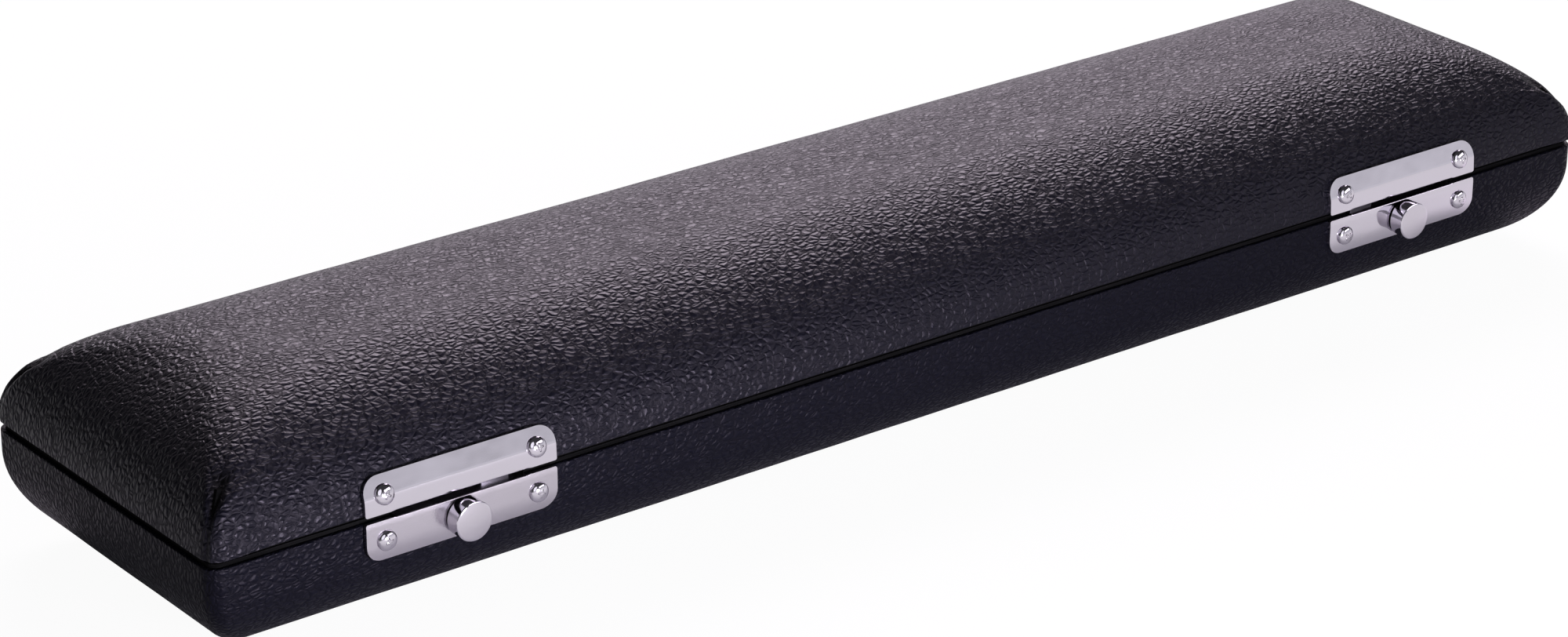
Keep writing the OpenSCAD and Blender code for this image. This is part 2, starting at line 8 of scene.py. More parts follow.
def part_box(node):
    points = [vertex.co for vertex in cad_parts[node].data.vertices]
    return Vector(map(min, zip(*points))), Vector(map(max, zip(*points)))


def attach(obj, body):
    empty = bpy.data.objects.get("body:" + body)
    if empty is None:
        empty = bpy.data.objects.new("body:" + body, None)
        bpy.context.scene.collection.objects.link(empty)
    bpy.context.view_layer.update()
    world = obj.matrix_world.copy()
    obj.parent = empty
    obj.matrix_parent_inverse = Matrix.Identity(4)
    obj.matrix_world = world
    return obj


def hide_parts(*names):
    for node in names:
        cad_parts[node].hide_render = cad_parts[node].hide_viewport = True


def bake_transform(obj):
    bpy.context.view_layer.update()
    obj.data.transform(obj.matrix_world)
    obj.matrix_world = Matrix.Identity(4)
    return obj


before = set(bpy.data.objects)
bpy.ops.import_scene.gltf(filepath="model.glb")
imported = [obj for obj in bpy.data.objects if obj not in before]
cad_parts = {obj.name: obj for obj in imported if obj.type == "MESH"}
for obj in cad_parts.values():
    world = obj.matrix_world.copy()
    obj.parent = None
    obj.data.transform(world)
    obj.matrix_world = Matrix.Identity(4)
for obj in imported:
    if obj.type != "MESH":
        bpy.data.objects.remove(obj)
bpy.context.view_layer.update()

# Camera
# A long lens looks down on the case from its front left corner, as in the photograph. Sizes in the
# whole script are metres, given in millimetres times MM.
MM = 0.001
CAMERA_PLACE = Vector((-615.4, -779.51, 445.59)) * MM
CAMERA_FILM = 36
CAMERA_LENS = 106.2966
CAMERA_NEAR = 10 * MM
CAMERA_TURN = math.radians(37.5216)
CAMERA_DIP = math.radians(23.476)
CAMERA_ROLL = math.radians(0.1116)
camera = bpy.data.objects.new("camera", bpy.data.cameras.new("camera"))
camera.data.sensor_width = CAMERA_FILM
camera.data.lens = CAMERA_LENS
camera.data.clip_start = CAMERA_NEAR
camera.rotation_mode = "QUATERNION"
look = Vector((math.sin(CAMERA_TURN) * math.cos(CAMERA_DIP),
               math.cos(CAMERA_TURN) * math.cos(CAMERA_DIP), -math.sin(CAMERA_DIP)))
camera.location = CAMERA_PLACE
camera.rotation_quaternion = look.to_track_quat("-Z", "Y") @ Quaternion((0, 0, 1), CAMERA_ROLL)
bpy.context.collection.objects.link(camera)
bpy.context.scene.camera = camera
bpy.context.scene.view_settings.view_transform = "Standard"


# Floor and studio
# The case stands on a white table in a dim room, which is bright low down in front and at a window
# on the left. A large soft lamp behind it on the right gives the leather its sheen. A wide weak one
# and a small low one light its front.
def new_material(name):
    """A material with an empty tree: the material, its nodes, its links and its output."""
    material = bpy.data.materials.new(name)
    material.use_nodes = True
    nodes = material.node_tree.nodes
    nodes.clear()
    return material, nodes, material.node_tree.links, nodes.new("ShaderNodeOutputMaterial")


def maths(nodes, links, operation, *values):
    """The result of a maths node on numbers or sockets."""
    node = nodes.new("ShaderNodeMath")
    node.operation = operation
    for socket, value in zip(node.inputs, values):
        if isinstance(value, bpy.types.NodeSocket):
            links.new(value, socket)
        else:
            socket.default_value = value
    return node.outputs[0]


def ramp(nodes, links, value, start, end, low=0.0, high=1.0):
    """A value mapped smoothly from start..end to low..high."""
    node = nodes.new("ShaderNodeMapRange")
    node.interpolation_type = "SMOOTHSTEP"
    links.new(value, node.inputs["Value"])
    for name, number in (("From Min", start), ("From Max", end), ("To Min", low), ("To Max", high)):
        node.inputs[name].default_value = number
    return node.outputs[0]


CASE = Vector((395, 90, 52.5)) * MM
WHITE = (1, 1, 1, 1)
PAPER_COLOUR = (0.85, 0.84, 0.87, 1)
FLOOR_SIZE = 8.0
FLOOR_SHADOW = 0.05
FLOOR_IN_METAL = 0.75
SHADE_WIDTH = 55 * MM
table, nodes, links, output = new_material("white_table")
paper = nodes.new("ShaderNodeBsdfDiffuse")
paper.inputs["Color"].default_value = PAPER_COLOUR
glow = nodes.new("ShaderNodeEmission")
glow.inputs["Color"].default_value = WHITE
path = nodes.new("ShaderNodeLightPath")
mirrored = maths(nodes, links, "MAXIMUM", path.outputs["Is Glossy Ray"],
                 path.outputs["Is Transmission Ray"])
spot = nodes.new("ShaderNodeSeparateXYZ")
links.new(nodes.new("ShaderNodeTexCoord").outputs["Object"], spot.inputs[0])
away = [maths(nodes, links, "SUBTRACT", maths(nodes, links, "ABSOLUTE", spot.outputs[axis]), half)
        for axis, half in (("X", CASE.x / 2), ("Y", CASE.y / 2))]
away = maths(nodes, links, "MAXIMUM", *away)
mirrored = maths(nodes, links, "MULTIPLY", mirrored, ramp(nodes, links, away, 0.0, SHADE_WIDTH))
seen = maths(nodes, links, "MAXIMUM",
             maths(nodes, links, "MULTIPLY", path.outputs["Is Camera Ray"], 1 - FLOOR_SHADOW),
             maths(nodes, links, "MULTIPLY", mirrored, FLOOR_IN_METAL))
mix = nodes.new("ShaderNodeMixShader")
links.new(seen, mix.inputs["Fac"])
links.new(paper.outputs[0], mix.inputs[1])
links.new(glow.outputs[0], mix.inputs[2])
links.new(mix.outputs[0], output.inputs["Surface"])
bm = bmesh.new()
bmesh.ops.create_grid(bm, x_segments=1, y_segments=1, size=FLOOR_SIZE / 2)
floor_mesh = bpy.data.meshes.new("table")
bm.to_mesh(floor_mesh)
bm.free()
floor = bpy.data.objects.new("table", floor_mesh)
floor.data.materials.append(table)
bpy.context.collection.objects.link(floor)


def pointing(nodes, links, where, way):
    """How nearly a direction points the given way: 1 when it does."""
    node = nodes.new("ShaderNodeVectorMath")
    node.operation = "DOT_PRODUCT"
    node.inputs[1].default_value = way
    links.new(where, node.inputs[0])
    return node.outputs["Value"]


LOW_BAND = (0.05, 0.4)
FRONT_WAY = (0.56, -0.83, 0.0)
FRONT_SPREAD = (-0.2, 0.7)
BEHIND_SHARE = 0.2
BAND_LIGHT = 0.88
DIM_LIGHT = 0.06
WINDOW_WAY = (-0.45, -0.73, 0.51)
WINDOW_EDGE = (0.9, 0.95)
WINDOW_LIGHT = 1.5
ROOM_COLOUR = (0.95, 0.95, 1.0, 1)
world = bpy.data.worlds.new("studio")
world.use_nodes = True
bpy.context.scene.world = world
nodes, links = world.node_tree.nodes, world.node_tree.links
nodes.clear()
where = nodes.new("ShaderNodeTexCoord").outputs["Generated"]
split = nodes.new("ShaderNodeSeparateXYZ")
links.new(where, split.inputs[0])
low_band = ramp(nodes, links, split.outputs["Z"], *LOW_BAND, 1.0, 0.0)
in_front = ramp(nodes, links, pointing(nodes, links, where, FRONT_WAY), *FRONT_SPREAD,
                BEHIND_SHARE, 1.0)
strength = maths(nodes, links, "MULTIPLY_ADD", maths(nodes, links, "MULTIPLY", low_band, in_front),
                 BAND_LIGHT, DIM_LIGHT)
window = ramp(nodes, links, pointing(nodes, links, where, WINDOW_WAY), *WINDOW_EDGE)
strength = maths(nodes, links, "MULTIPLY_ADD", window, WINDOW_LIGHT, strength)
room = nodes.new("ShaderNodeBackground")
room.inputs["Color"].default_value = ROOM_COLOUR
links.new(strength, room.inputs["Strength"])
white = nodes.new("ShaderNodeBackground")
white.inputs["Color"].default_value = WHITE
mix = nodes.new("ShaderNodeMixShader")
links.new(nodes.new("ShaderNodeLightPath").outputs["Is Camera Ray"], mix.inputs["Fac"])
links.new(room.outputs[0], mix.inputs[1])
links.new(white.outputs[0], mix.inputs[2])
output = nodes.new("ShaderNodeOutputWorld")
links.new(mix.outputs[0], output.inputs["Surface"])


def soft_lamp(name, place, size, power, colour, aim=(0, 0, 0)):
    """A rectangular lamp at a place, facing the case or another place."""
    lamp = bpy.data.objects.new(name, bpy.data.lights.new(name, "AREA"))
    lamp.data.shape = "RECTANGLE"
    lamp.data.size, lamp.data.size_y = size
    lamp.data.energy = power
    lamp.data.color = colour
    lamp.location = place
    lamp.rotation_mode = "QUATERNION"
    lamp.rotation_quaternion = (Vector(aim) - Vector(place)).to_track_quat("-Z", "Y")
    bpy.context.collection.objects.link(lamp)


soft_lamp("back_lamp", place=(0.85, 1.1, 0.95), size=(1.3, 0.8), power=46,
          colour=(1.0, 0.88, 1.0))
soft_lamp("wide_lamp", place=(0.9, -1.25, 0.7), size=(1.5, 0.4), power=7,
          colour=(1.0, 0.93, 1.03))
soft_lamp("near_lamp", place=(-0.1, -0.46, 0.045), size=(0.1, 0.08), power=4.0,
          colour=(0.97, 0.93, 1.06), aim=(-0.2, 0, 0.03))


# Lid leather
# One skin of black pebbled leather glued over the domed lid and turned in at the seam. Low at each
# corner it is folded into a pleat; above that it is drawn round the corner smoothly. It is cut
# away where the latches are let in.
SEAM = 26.5 * MM
LEATHER = 1.2 * MM
EDGE_HEIGHT = 0.98 * MM
EDGE_ROUND = 0.3 * MM
CORNER = 3.8 * MM
CORNER_STEPS = 16
CORNER_ZONE = 12 * MM
DOME_START = SEAM + 0.5 * MM
SIDE_ROUND = 20 * MM
DOME_RUN = 34 * MM
DOME_RISE = CASE.z - DOME_START
CROWN_ROUND = (DOME_RUN ** 2 + DOME_RISE ** 2 - 2 * DOME_RUN * SIDE_ROUND) / (
    2 * (DOME_RISE - SIDE_ROUND))
CROWN_LEAN = math.acos((DOME_RUN - SIDE_ROUND) / (CROWN_ROUND - SIDE_ROUND))
CEILING = 40 * MM
HIP_START = SIDE_ROUND - math.sqrt(SIDE_ROUND ** 2 - (CEILING - DOME_START) ** 2)
HIP_GROWTH = 0.6
LATCH_X = 136.7 * MM
POCKET_HALF = 16.8 * MM
POCKET_DEPTH = 0.1 * CASE.y
LID_POCKET_TOP = 29.5 * MM
POCKET_SPARE = 1 * MM


def smooth(value):
    """A smooth step from 0 to 1."""
    value = max(0.0, min(1.0, value))
    return value * value * (3 - 2 * value)


def arc(centre, radius, start, stop, steps):
    """Points (inset, height) along an arc, its angles measured up from the outward side."""
    angles = [start + (stop - start) * i / steps for i in range(steps + 1)]
    return [(centre[0] - radius * math.cos(a), centre[1] + radius * math.sin(a)) for a in angles]


def dome_path(inset, start, side_steps, crown_steps):
    """The lid's section from a height up to where the crown is flat."""
    lean = math.asin((start - DOME_START) / (SIDE_ROUND - inset))
    side = arc((SIDE_ROUND, DOME_START), SIDE_ROUND - inset, lean, CROWN_LEAN, side_steps)
    crown = arc((DOME_RUN, CASE.z - CROWN_ROUND), CROWN_ROUND - inset, CROWN_LEAN,
                math.pi / 2, crown_steps)
    return side + crown[1:]


def hip_round(inset, corner=CORNER):
    """Radius of the lid's corners at an inset: they grow rounder above the lid's walls."""
    return corner + HIP_GROWTH * max(0.0, inset - HIP_START)


def cut_through(bm, place, way, near=1e-6):
    """Cuts new edges into a whole mesh along a plane."""
    bmesh.ops.bisect_plane(bm, geom=bm.verts[:] + bm.edges[:] + bm.faces[:], plane_co=place,
                           plane_no=way, dist=near)


def round_off(bm, geom, radius, segments, affect="EDGES"):
    """Rounds edges, or the corners of a flat outline."""
    bmesh.ops.bevel(bm, geom=geom, offset=radius, offset_type="OFFSET", segments=segments,
                    profile=0.5, affect=affect, material=-1, clamp_overlap=affect == "EDGES")


def sharp_edges(bm, angle):
    """Edges between two faces that meet at more than an angle in degrees."""
    return [edge for edge in bm.edges if edge.is_manifold
            and edge.calc_face_angle(0) > math.radians(angle)]


def extruded(bm, edges):
    """The new points and the new outer edges of a strip extruded from edges."""
    made = bmesh.ops.extrude_edge_only(bm, edges=edges)["geom"]
    verts = [item for item in made if isinstance(item, bmesh.types.BMVert)]
    fresh = set(verts)
    return verts, [item for item in made if isinstance(item, bmesh.types.BMEdge)
                   and item.verts[0] in fresh and item.verts[1] in fresh]


def outline_only(bm):
    """Takes the faces and inner edges out of a flat mesh, which leaves its outline."""
    inner = [edge for edge in bm.edges if not edge.is_boundary]
    bmesh.ops.delete(bm, geom=inner, context="EDGES_FACES")


def plan_ring(bm, near_step, far_step):
    """The case's plan as a ring of edges, finer near its corners."""
    bmesh.ops.create_grid(bm, x_segments=1, y_segments=1, size=0.5)
    bmesh.ops.scale(bm, verts=bm.verts, vec=(CASE.x, CASE.y, 1))
    round_off(bm, bm.verts[:], CORNER, CORNER_STEPS, "VERTICES")
    planes = [((side * (CASE.x / 2 - CORNER_ZONE), 0, 0), (1, 0, 0)) for side in (-1, 1)]
    planes += [((0, side * (CASE.y / 2 - CORNER_ZONE), 0), (0, 1, 0)) for side in (-1, 1)]
    planes += [((latch + side, 0, 0), (1, 0, 0)) for latch in (-LATCH_X, LATCH_X)
               for side in (-POCKET_HALF, POCKET_HALF)]
    for place, way in planes:
        cut_through(bm, place, way, near=1e-7)
    outline_only(bm)
    for edge in bm.edges[:]:
        length = edge.calc_length()
        cuts = round(length / (near_step if length < CORNER_ZONE else far_step)) - 1
        if cuts > 0:
            bmesh.ops.subdivide_edges(bm, edges=[edge], cuts=cuts)


def place_ring(verts, plan, inset, height, corner=CORNER, squeeze=1.0):
    """Moves a ring inwards to a height, with its corners at a radius. Squeeze closes it."""
    core = Vector((CASE.x / 2 - CORNER, CASE.y / 2 - CORNER))
    corner = min(corner, CASE.y / 2 - inset)
    size = Vector((CASE.x / 2 - inset - corner, CASE.y / 2 - inset - corner))
    for vert in verts:
        flat = vert[plan]
        middle = Vector((max(-core.x, min(core.x, flat.x)), max(-core.y, min(core.y, flat.y))))
        x = middle.x * size.x / core.x + (flat.x - middle.x) * corner / CORNER
        y = middle.y * size.y / core.y + (flat.y - middle.y) * corner / CORNER
        vert.co = (x, y * squeeze, height)


def swept_form(points, near_step=0.5 * MM, far_step=1.5 * MM):
    """A surface swept round the case along points: inset, height, corner radius and squeeze."""
    bm = bmesh.new()
    plan_ring(bm, near_step, far_step)
    plan = bm.verts.layers.float_vector.new("plan")
    for vert in bm.verts:
        vert[plan] = vert.co
    edges = bm.edges[:]
    place_ring(bm.verts[:], plan, *points[0])
    for point in points[1:]:
        verts, edges = extruded(bm, edges)
        place_ring(verts, plan, *point)
    bmesh.ops.remove_doubles(bm, verts=bm.verts, dist=1e-6)
    bmesh.ops.recalc_face_normals(bm, faces=bm.faces)
    return bm


def lid_points(points):
    """Points of a lid's form with the corner radius that goes with each inset."""
    return [(inset, height, hip_round(inset)) for inset, height in points]


def cap(inset, height, corner, rows=6):
    """Points that close a swept form at its top or its bottom."""
    room = CASE.y / 2 - inset - 2 * MM
    steps = [(inset + room * i / rows, height, corner) for i in range(1, rows + 1)]
    return steps + [(inset + room, height, corner, squeeze) for squeeze in (0.5, 0.0)]


def cut_pockets(bm, low, high):
    """Removes the leather in front of the latch works, between two heights."""
    for height in (low, high):
        cut_through(bm, (0, 0, height), (0, 0, 1), near=2e-5)
    lost = []
    for face in bm.faces:
        spot = face.calc_center_median()
        if (abs(abs(spot.x) - LATCH_X) < POCKET_HALF and spot.y < POCKET_DEPTH - CASE.y / 2
                and low < spot.z < high):
            lost.append(face)
    bmesh.ops.delete(bm, geom=lost, context="FACES")


def around_corner(flat):
    """Distance along the case's outline from its nearest corner: below 0 on the end faces."""
    x = abs(flat.x) - CASE.x / 2 + CORNER
    y = abs(flat.y) - CASE.y / 2 + CORNER
    if x > 0 and y > 0:
        return CORNER * (math.atan2(y, x) - math.pi / 4)
    return CORNER * math.pi / 4 - x if y > 0 else y - CORNER * math.pi / 4


PLEAT_DEPTH = 1.0 * MM
PLEAT_LOW = 34 * MM
PLEAT_HIGH = 43.5 * MM
PLEAT_ASIDE = 0.3 * MM
PLEAT_LEAN = 1.1 * MM
PLEAT_LEAN_RISE = 14 * MM
PLEAT_HALF = 0.5 * MM
PLEAT_WIDENING = 1.1 * MM
PLEAT_WIDENING_RISE = 7 * MM
PLEAT_FADE_LOW = 4 * MM
PLEAT_FADE_HIGH = 2 * MM
PLEAT_DARK = 0.7
PLEAT_MARGIN = 3 * MM
FOLD_PROUD = 0.6 * MM
FOLD_LOW = 37.8 * MM
FOLD_RISE = 4.5 * MM
FOLD_RISE_RUN = 5 * MM
FOLD_STEP = 0.8 * MM
FOLD_EDGE = 1.2 * MM
FOLD_REACH = 13 * MM
FOLD_FADE = 9 * MM
FOLD_MARGIN = 2 * MM


def press_pleats(bm):
    """Presses a hollow into each corner of the lid, and raises the fold of leather beside it."""
    plan = bm.verts.layers.float_vector["plan"]
    pleat_shade = bm.verts.layers.float.new("pleat_shade")
    bm.normal_update()
    moves = []
    for vert in bm.verts:
        along, z = around_corner(vert[plan]), vert.co.z
        if z > PLEAT_HIGH + PLEAT_MARGIN or abs(along) > FOLD_REACH + FOLD_MARGIN:
            continue
        middle = PLEAT_ASIDE - PLEAT_LEAN * smooth((PLEAT_HIGH - z) / PLEAT_LEAN_RISE)
        wide = PLEAT_HALF + PLEAT_WIDENING * smooth((z - PLEAT_LOW) / PLEAT_WIDENING_RISE)
        tall = smooth((z - PLEAT_LOW) / PLEAT_FADE_LOW) * smooth((PLEAT_HIGH - z) / PLEAT_FADE_HIGH)
        groove = tall * math.exp(-((along - middle) / wide) ** 2)
        fold_top = FOLD_LOW + FOLD_RISE * (1 - math.exp(-max(0.0, along) / FOLD_RISE_RUN))
        fold = FOLD_PROUD * smooth((along - middle) / FOLD_STEP) * smooth(
            (fold_top - z) / FOLD_EDGE + 0.5) * smooth((FOLD_REACH - along) / FOLD_FADE)
        # Painted shade: the deeper the hollow, the more the leather's colour is darkened here.
        vert[pleat_shade] = smooth(groove / PLEAT_DARK)
        moves.append((vert, vert.normal * (fold - PLEAT_DEPTH * groove)))
    for vert, move in moves:
        vert.co += move


WIDE_WAVES = 22
NARROW_WAVES = 70


def unsettle(bm, amount):
    """Moves a skin in and out a little, so that it isn't perfectly even."""
    bm.normal_update()
    moves = [vert.normal * amount * (noise.noise(vert.co * WIDE_WAVES)
                                     + 0.5 * noise.noise(vert.co * NARROW_WAVES))
             for vert in bm.verts]
    for vert, move in zip(bm.verts, moves):
        vert.co += move


def thicken(bm, thickness, edge_round):
    """Gives an open skin thickness on its inner side, and rounds the edges of its rims."""
    bmesh.ops.recalc_face_normals(bm, faces=bm.faces)
    bmesh.ops.solidify(bm, geom=bm.faces[:], thickness=thickness)
    bmesh.ops.recalc_face_normals(bm, faces=bm.faces)
    round_off(bm, sharp_edges(bm, 60), edge_round, 3)


def finish_piece(name, bm, body, replaced, materials, crease=35):
    """Turns a bmesh into a smooth-shaded piece that rides on a body in place of CAD nodes."""
    bmesh.ops.recalc_face_normals(bm, faces=bm.faces)
    mesh = bpy.data.meshes.new(name)
    bm.to_mesh(mesh)
    bm.free()
    for material in materials:
        mesh.materials.append(material)
    mesh.shade_smooth()
    mesh.set_sharp_from_angle(angle=math.radians(crease))
    piece = bpy.data.objects.new(name, mesh)
    bpy.context.collection.objects.link(piece)
    if body:
        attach(piece, body)
    if replaced:
        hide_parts(*replaced)
    return piece


def texture(nodes, links, kind, vector, scale, **settings):
    """A noise or cell texture on a vector."""
    node = nodes.new(kind)
    for name, value in settings.items():
        setattr(node, name, value)
    node.inputs["Scale"].default_value = scale
    links.new(vector, node.inputs["Vector"])
    return node


def vector_maths(nodes, links, operation, first, second):
    """The result of a vector maths node on a socket and a constant or a socket."""
    node = nodes.new("ShaderNodeVectorMath")
    node.operation = operation
    links.new(first, node.inputs[0])
    if isinstance(second, bpy.types.NodeSocket):
        links.new(second, node.inputs[1])
    else:
        node.inputs[1].default_value = second
    return node.outputs[0]


def blend_sockets(nodes, links, kind, share, first, second):
    """A mix of two sockets or constants of a kind, FLOAT or RGBA, by a share."""
    node = nodes.new("ShaderNodeMix")
    node.data_type = kind
    places = {"FLOAT": (2, 3, 0), "RGBA": (6, 7, 2)}[kind]
    links.new(share, node.inputs[0])
    for socket, value in zip((node.inputs[places[0]], node.inputs[places[1]]), (first, second)):
        if isinstance(value, bpy.types.NodeSocket):
            links.new(value, socket)
        else:
            socket.default_value = value
    return node.outputs[places[2]]


def bump(nodes, links, height, distance):
    """Bumps from a height."""
    node = nodes.new("ShaderNodeBump")
    node.inputs["Strength"].default_value = 1.0
    node.inputs["Distance"].default_value = distance
    links.new(height, node.inputs["Height"])
    return node.outputs[0]


def principled(nodes, links, output, **values):
    """A Principled shader with constants or sockets on its inputs."""
    shader = nodes.new("ShaderNodeBsdfPrincipled")
    for name, value in values.items():
        socket = shader.inputs[name.replace("_", " ")]
        if isinstance(value, bpy.types.NodeSocket):
            links.new(value, socket)
        else:
            socket.default_value = value
    links.new(shader.outputs[0], output.inputs["Surface"])


PEBBLES_PER_METRE = 790
BREAKS_PER_METRE = 850
CREASE_WIDTH = 0.2
PEBBLE_WIDTH = 0.5
BREAK_EDGES = (0.38, 0.62)
BROKEN_DEPTH = 0.6
CREASE_DEPTH = 0.5
PEBBLE_UNEVENNESS = 0.2


def grain_pattern(nodes, links, place, stretch):
    """How deep the creases between the pebbles of the grain are, and how high the skin stands."""
    drawn = vector_maths(nodes, links, "MULTIPLY", place, stretch)
    border = texture(nodes, links, "ShaderNodeTexVoronoi", drawn, PEBBLES_PER_METRE,
                     feature="DISTANCE_TO_EDGE").outputs["Distance"]
    breaks = texture(nodes, links, "ShaderNodeTexNoise", drawn, BREAKS_PER_METRE).outputs["Fac"]
    broken = ramp(nodes, links, breaks, *BREAK_EDGES, 1.0, BROKEN_DEPTH)
    creases = ramp(nodes, links, border, 0.0, CREASE_WIDTH, 1.0, 0.0)
    creases = maths(nodes, links, "MULTIPLY", creases, broken)
    pebbles = ramp(nodes, links, border, 0.0, PEBBLE_WIDTH)
    height = maths(nodes, links, "MULTIPLY_ADD", breaks, PEBBLE_UNEVENNESS, pebbles)
    sunk = maths(nodes, links, "MULTIPLY", creases, CREASE_DEPTH)
    return creases, maths(nodes, links, "SUBTRACT", height, sunk)


ALONG_CASE = (0.6, 1, 1)
DOWN_ENDS = (1, 1, 0.55)
WANDER = (1.5 * MM, 1.5 * MM, 1.5 * MM)
WANDERS_PER_METRE = 360
PORES_PER_METRE = 2600
PORE_HEIGHT = 0.07
GRAIN_HEIGHT = 0.17 * MM
LEATHER_COLOUR = (0.0018, 0.0019, 0.0042, 1)
# Painted shade: the darker colour given to the grain's creases and the pleats' hollows.
CREASE_SHADE_COLOUR = (0.0003, 0.0003, 0.0005, 1)
CREASE_SHADE = 0.4
LEATHER_ROUGHNESS = 0.43
CREASE_ROUGHNESS = 0.24
LEATHER_TINT = (0.95, 0.87, 1.0, 1)


def leather_material(name, shine):
    """Black leather with a pebbled grain that is drawn out along the case, and down its ends."""
    material, nodes, links, output = new_material(name)
    place = nodes.new("ShaderNodeTexCoord").outputs["Object"]
    end = nodes.new("ShaderNodeAttribute")
    end.attribute_name = "end_share"
    # Painted shade in the pleats' hollows, as stored by press_pleats.
    pleat_shade = nodes.new("ShaderNodeAttribute")
    pleat_shade.attribute_name = "pleat_shade"
    wander = texture(nodes, links, "ShaderNodeTexNoise", place, WANDERS_PER_METRE).outputs["Color"]
    wander = vector_maths(nodes, links, "MULTIPLY", wander, WANDER)
    moved = vector_maths(nodes, links, "ADD", place, wander)
    along, along_height = grain_pattern(nodes, links, moved, ALONG_CASE)
    down, down_height = grain_pattern(nodes, links, moved, DOWN_ENDS)
    creases = blend_sockets(nodes, links, "FLOAT", end.outputs["Fac"], along, down)
    grain = blend_sockets(nodes, links, "FLOAT", end.outputs["Fac"], along_height, down_height)
    pores = texture(nodes, links, "ShaderNodeTexNoise", place, PORES_PER_METRE).outputs["Fac"]
    height = maths(nodes, links, "MULTIPLY_ADD", pores, PORE_HEIGHT, grain)
    # Painted shade: the colour darkens in the creases of the grain and in the pleats' hollows.
    painted_shade = maths(nodes, links, "MULTIPLY", creases, CREASE_SHADE)
    painted_shade = maths(nodes, links, "MAXIMUM", painted_shade, pleat_shade.outputs["Fac"])
    principled(
        nodes, links, output,
        Base_Color=blend_sockets(nodes, links, "RGBA", painted_shade, LEATHER_COLOUR, CREASE_SHADE_COLOUR),
        Roughness=maths(nodes, links, "MULTIPLY_ADD", creases, CREASE_ROUGHNESS,
                        LEATHER_ROUGHNESS),
        Specular_IOR_Level=shine, Specular_Tint=LEATHER_TINT,
        Normal=bump(nodes, links, height, GRAIN_HEIGHT))
    return material


END_TURN = 0.4


def mark_ends(bm):
    """Stores how far each point belongs to an end face."""
    end = bm.verts.layers.float.new("end_share")
    bm.normal_update()
    for vert in bm.verts:
        vert[end] = smooth((abs(vert.normal.x) - END_TURN) / END_TURN)


LID_SHINE = 0.14
SKIN_UNEVENNESS = 0.12 * MM
LID_ROWS = (22, 20)
lid_skin = leather_material("black_leather", LID_SHINE)
lid_low = SEAM + EDGE_HEIGHT
lid_path = dome_path(0, lid_low, *LID_ROWS)
bm = swept_form(lid_points(lid_path) + cap(DOME_RUN, CASE.z, CASE.y))
press_pleats(bm)
unsettle(bm, SKIN_UNEVENNESS)
cut_pockets(bm, lid_low - POCKET_SPARE, LID_POCKET_TOP)
thicken(bm, LEATHER, EDGE_ROUND)
mark_ends(bm)
finish_piece("lid_leather", bm, "lid", ["lid_cover"], [lid_skin], crease=60)


# Base leather
# A second skin of the same leather round the tray, with a large round along the bottom edges, and
# a flat panel of leather glued over its turned-in edges underneath.
BASE_ROUND = 20.5 * MM
BASE_SHINE = 0.065
BASE_POCKET_FOOT = 17.5 * MM
WALL_LEATHER_ROWS = 7
ROUND_ROWS = 24
PANEL_GAP = 0.15 * MM
PANEL_STEPS = (1 * MM, 6 * MM)
base_skin = leather_material("dull_black_leather", BASE_SHINE)
base_high = SEAM - EDGE_HEIGHT
upright = [(0.0, base_high + (BASE_ROUND - base_high) * i / WALL_LEATHER_ROWS)
           for i in range(WALL_LEATHER_ROWS)]
bm = swept_form(upright + arc((BASE_ROUND, BASE_ROUND), BASE_ROUND, 0, -math.pi / 2, ROUND_ROWS))
unsettle(bm, SKIN_UNEVENNESS)
cut_pockets(bm, BASE_POCKET_FOOT, base_high + POCKET_SPARE)
thicken(bm, LEATHER, EDGE_ROUND)
mark_ends(bm)
finish_piece("base_leather", bm, "base", ["base_cover"], [base_skin], crease=60)

panel = BASE_ROUND + PANEL_GAP
bm = swept_form([(panel, 0.0)] + cap(panel, 0.0, CORNER), *PANEL_STEPS)
for face in bm.faces:
    if face.normal.z > 0:
        face.normal_flip()
bmesh.ops.solidify(bm, geom=bm.faces[:], thickness=LEATHER)
mark_ends(bm)
finish_piece("bottom_panel_leather", bm, "base", ["bottom_panel"], [base_skin],
             crease=60)


# Dome board and wadding
# Under the leather the lid's top is a thin board bent over the walls. Cotton wadding fills it, and
# the plush panel under it presses its rim up.
DOME_BOARD = 4 * MM
DOME_STEPS = (1.5 * MM, 4 * MM)
DOME_ROWS = (12, 16)
WADDING_GAP = 0.6 * MM
WADDING_UNEVENNESS = 0.2 * MM
PRESSED_BELOW = 44 * MM
PRESSED_SHARE = 0.35
SMALLEST_CORNER = 0.8 * MM
GRAIN_ALONG_BOARD = (0.04, 1, 1)
FIBRES_PER_METRE = 1500
BANDS_PER_METRE = 260
FIBRE_HEIGHT = 0.08 * MM
WOOD_DARK = (0.0008, 0.0008, 0.0009, 1)
WOOD_LIGHT = (0.003, 0.0028, 0.003, 1)
TUFTS_PER_METRE = 420
TUFT_HEIGHT = 0.8 * MM
COTTON_DARK = (0.62, 0.6, 0.54, 1)
COTTON_LIGHT = (0.8, 0.78, 0.72, 1)


def wood_material(name):
    """Close-grained wood stained black."""
    material, nodes, links, output = new_material(name)
    place = nodes.new("ShaderNodeTexCoord").outputs["Object"]
    drawn = vector_maths(nodes, links, "MULTIPLY", place, GRAIN_ALONG_BOARD)
    grain = texture(nodes, links, "ShaderNodeTexNoise", drawn, FIBRES_PER_METRE).outputs["Fac"]
    bands = texture(nodes, links, "ShaderNodeTexNoise", drawn, BANDS_PER_METRE).outputs["Fac"]
    grain = maths(nodes, links, "MULTIPLY_ADD", bands, 0.6, grain)
    principled(
        nodes, links, output,
        Base_Color=blend_sockets(nodes, links, "RGBA", ramp(nodes, links, grain, 0.5, 1.1),
                                 WOOD_DARK, WOOD_LIGHT),
        Roughness=ramp(nodes, links, grain, 0.5, 1.1, 0.9, 0.75), Specular_IOR_Level=0.04,
        Normal=bump(nodes, links, grain, FIBRE_HEIGHT))
    return material


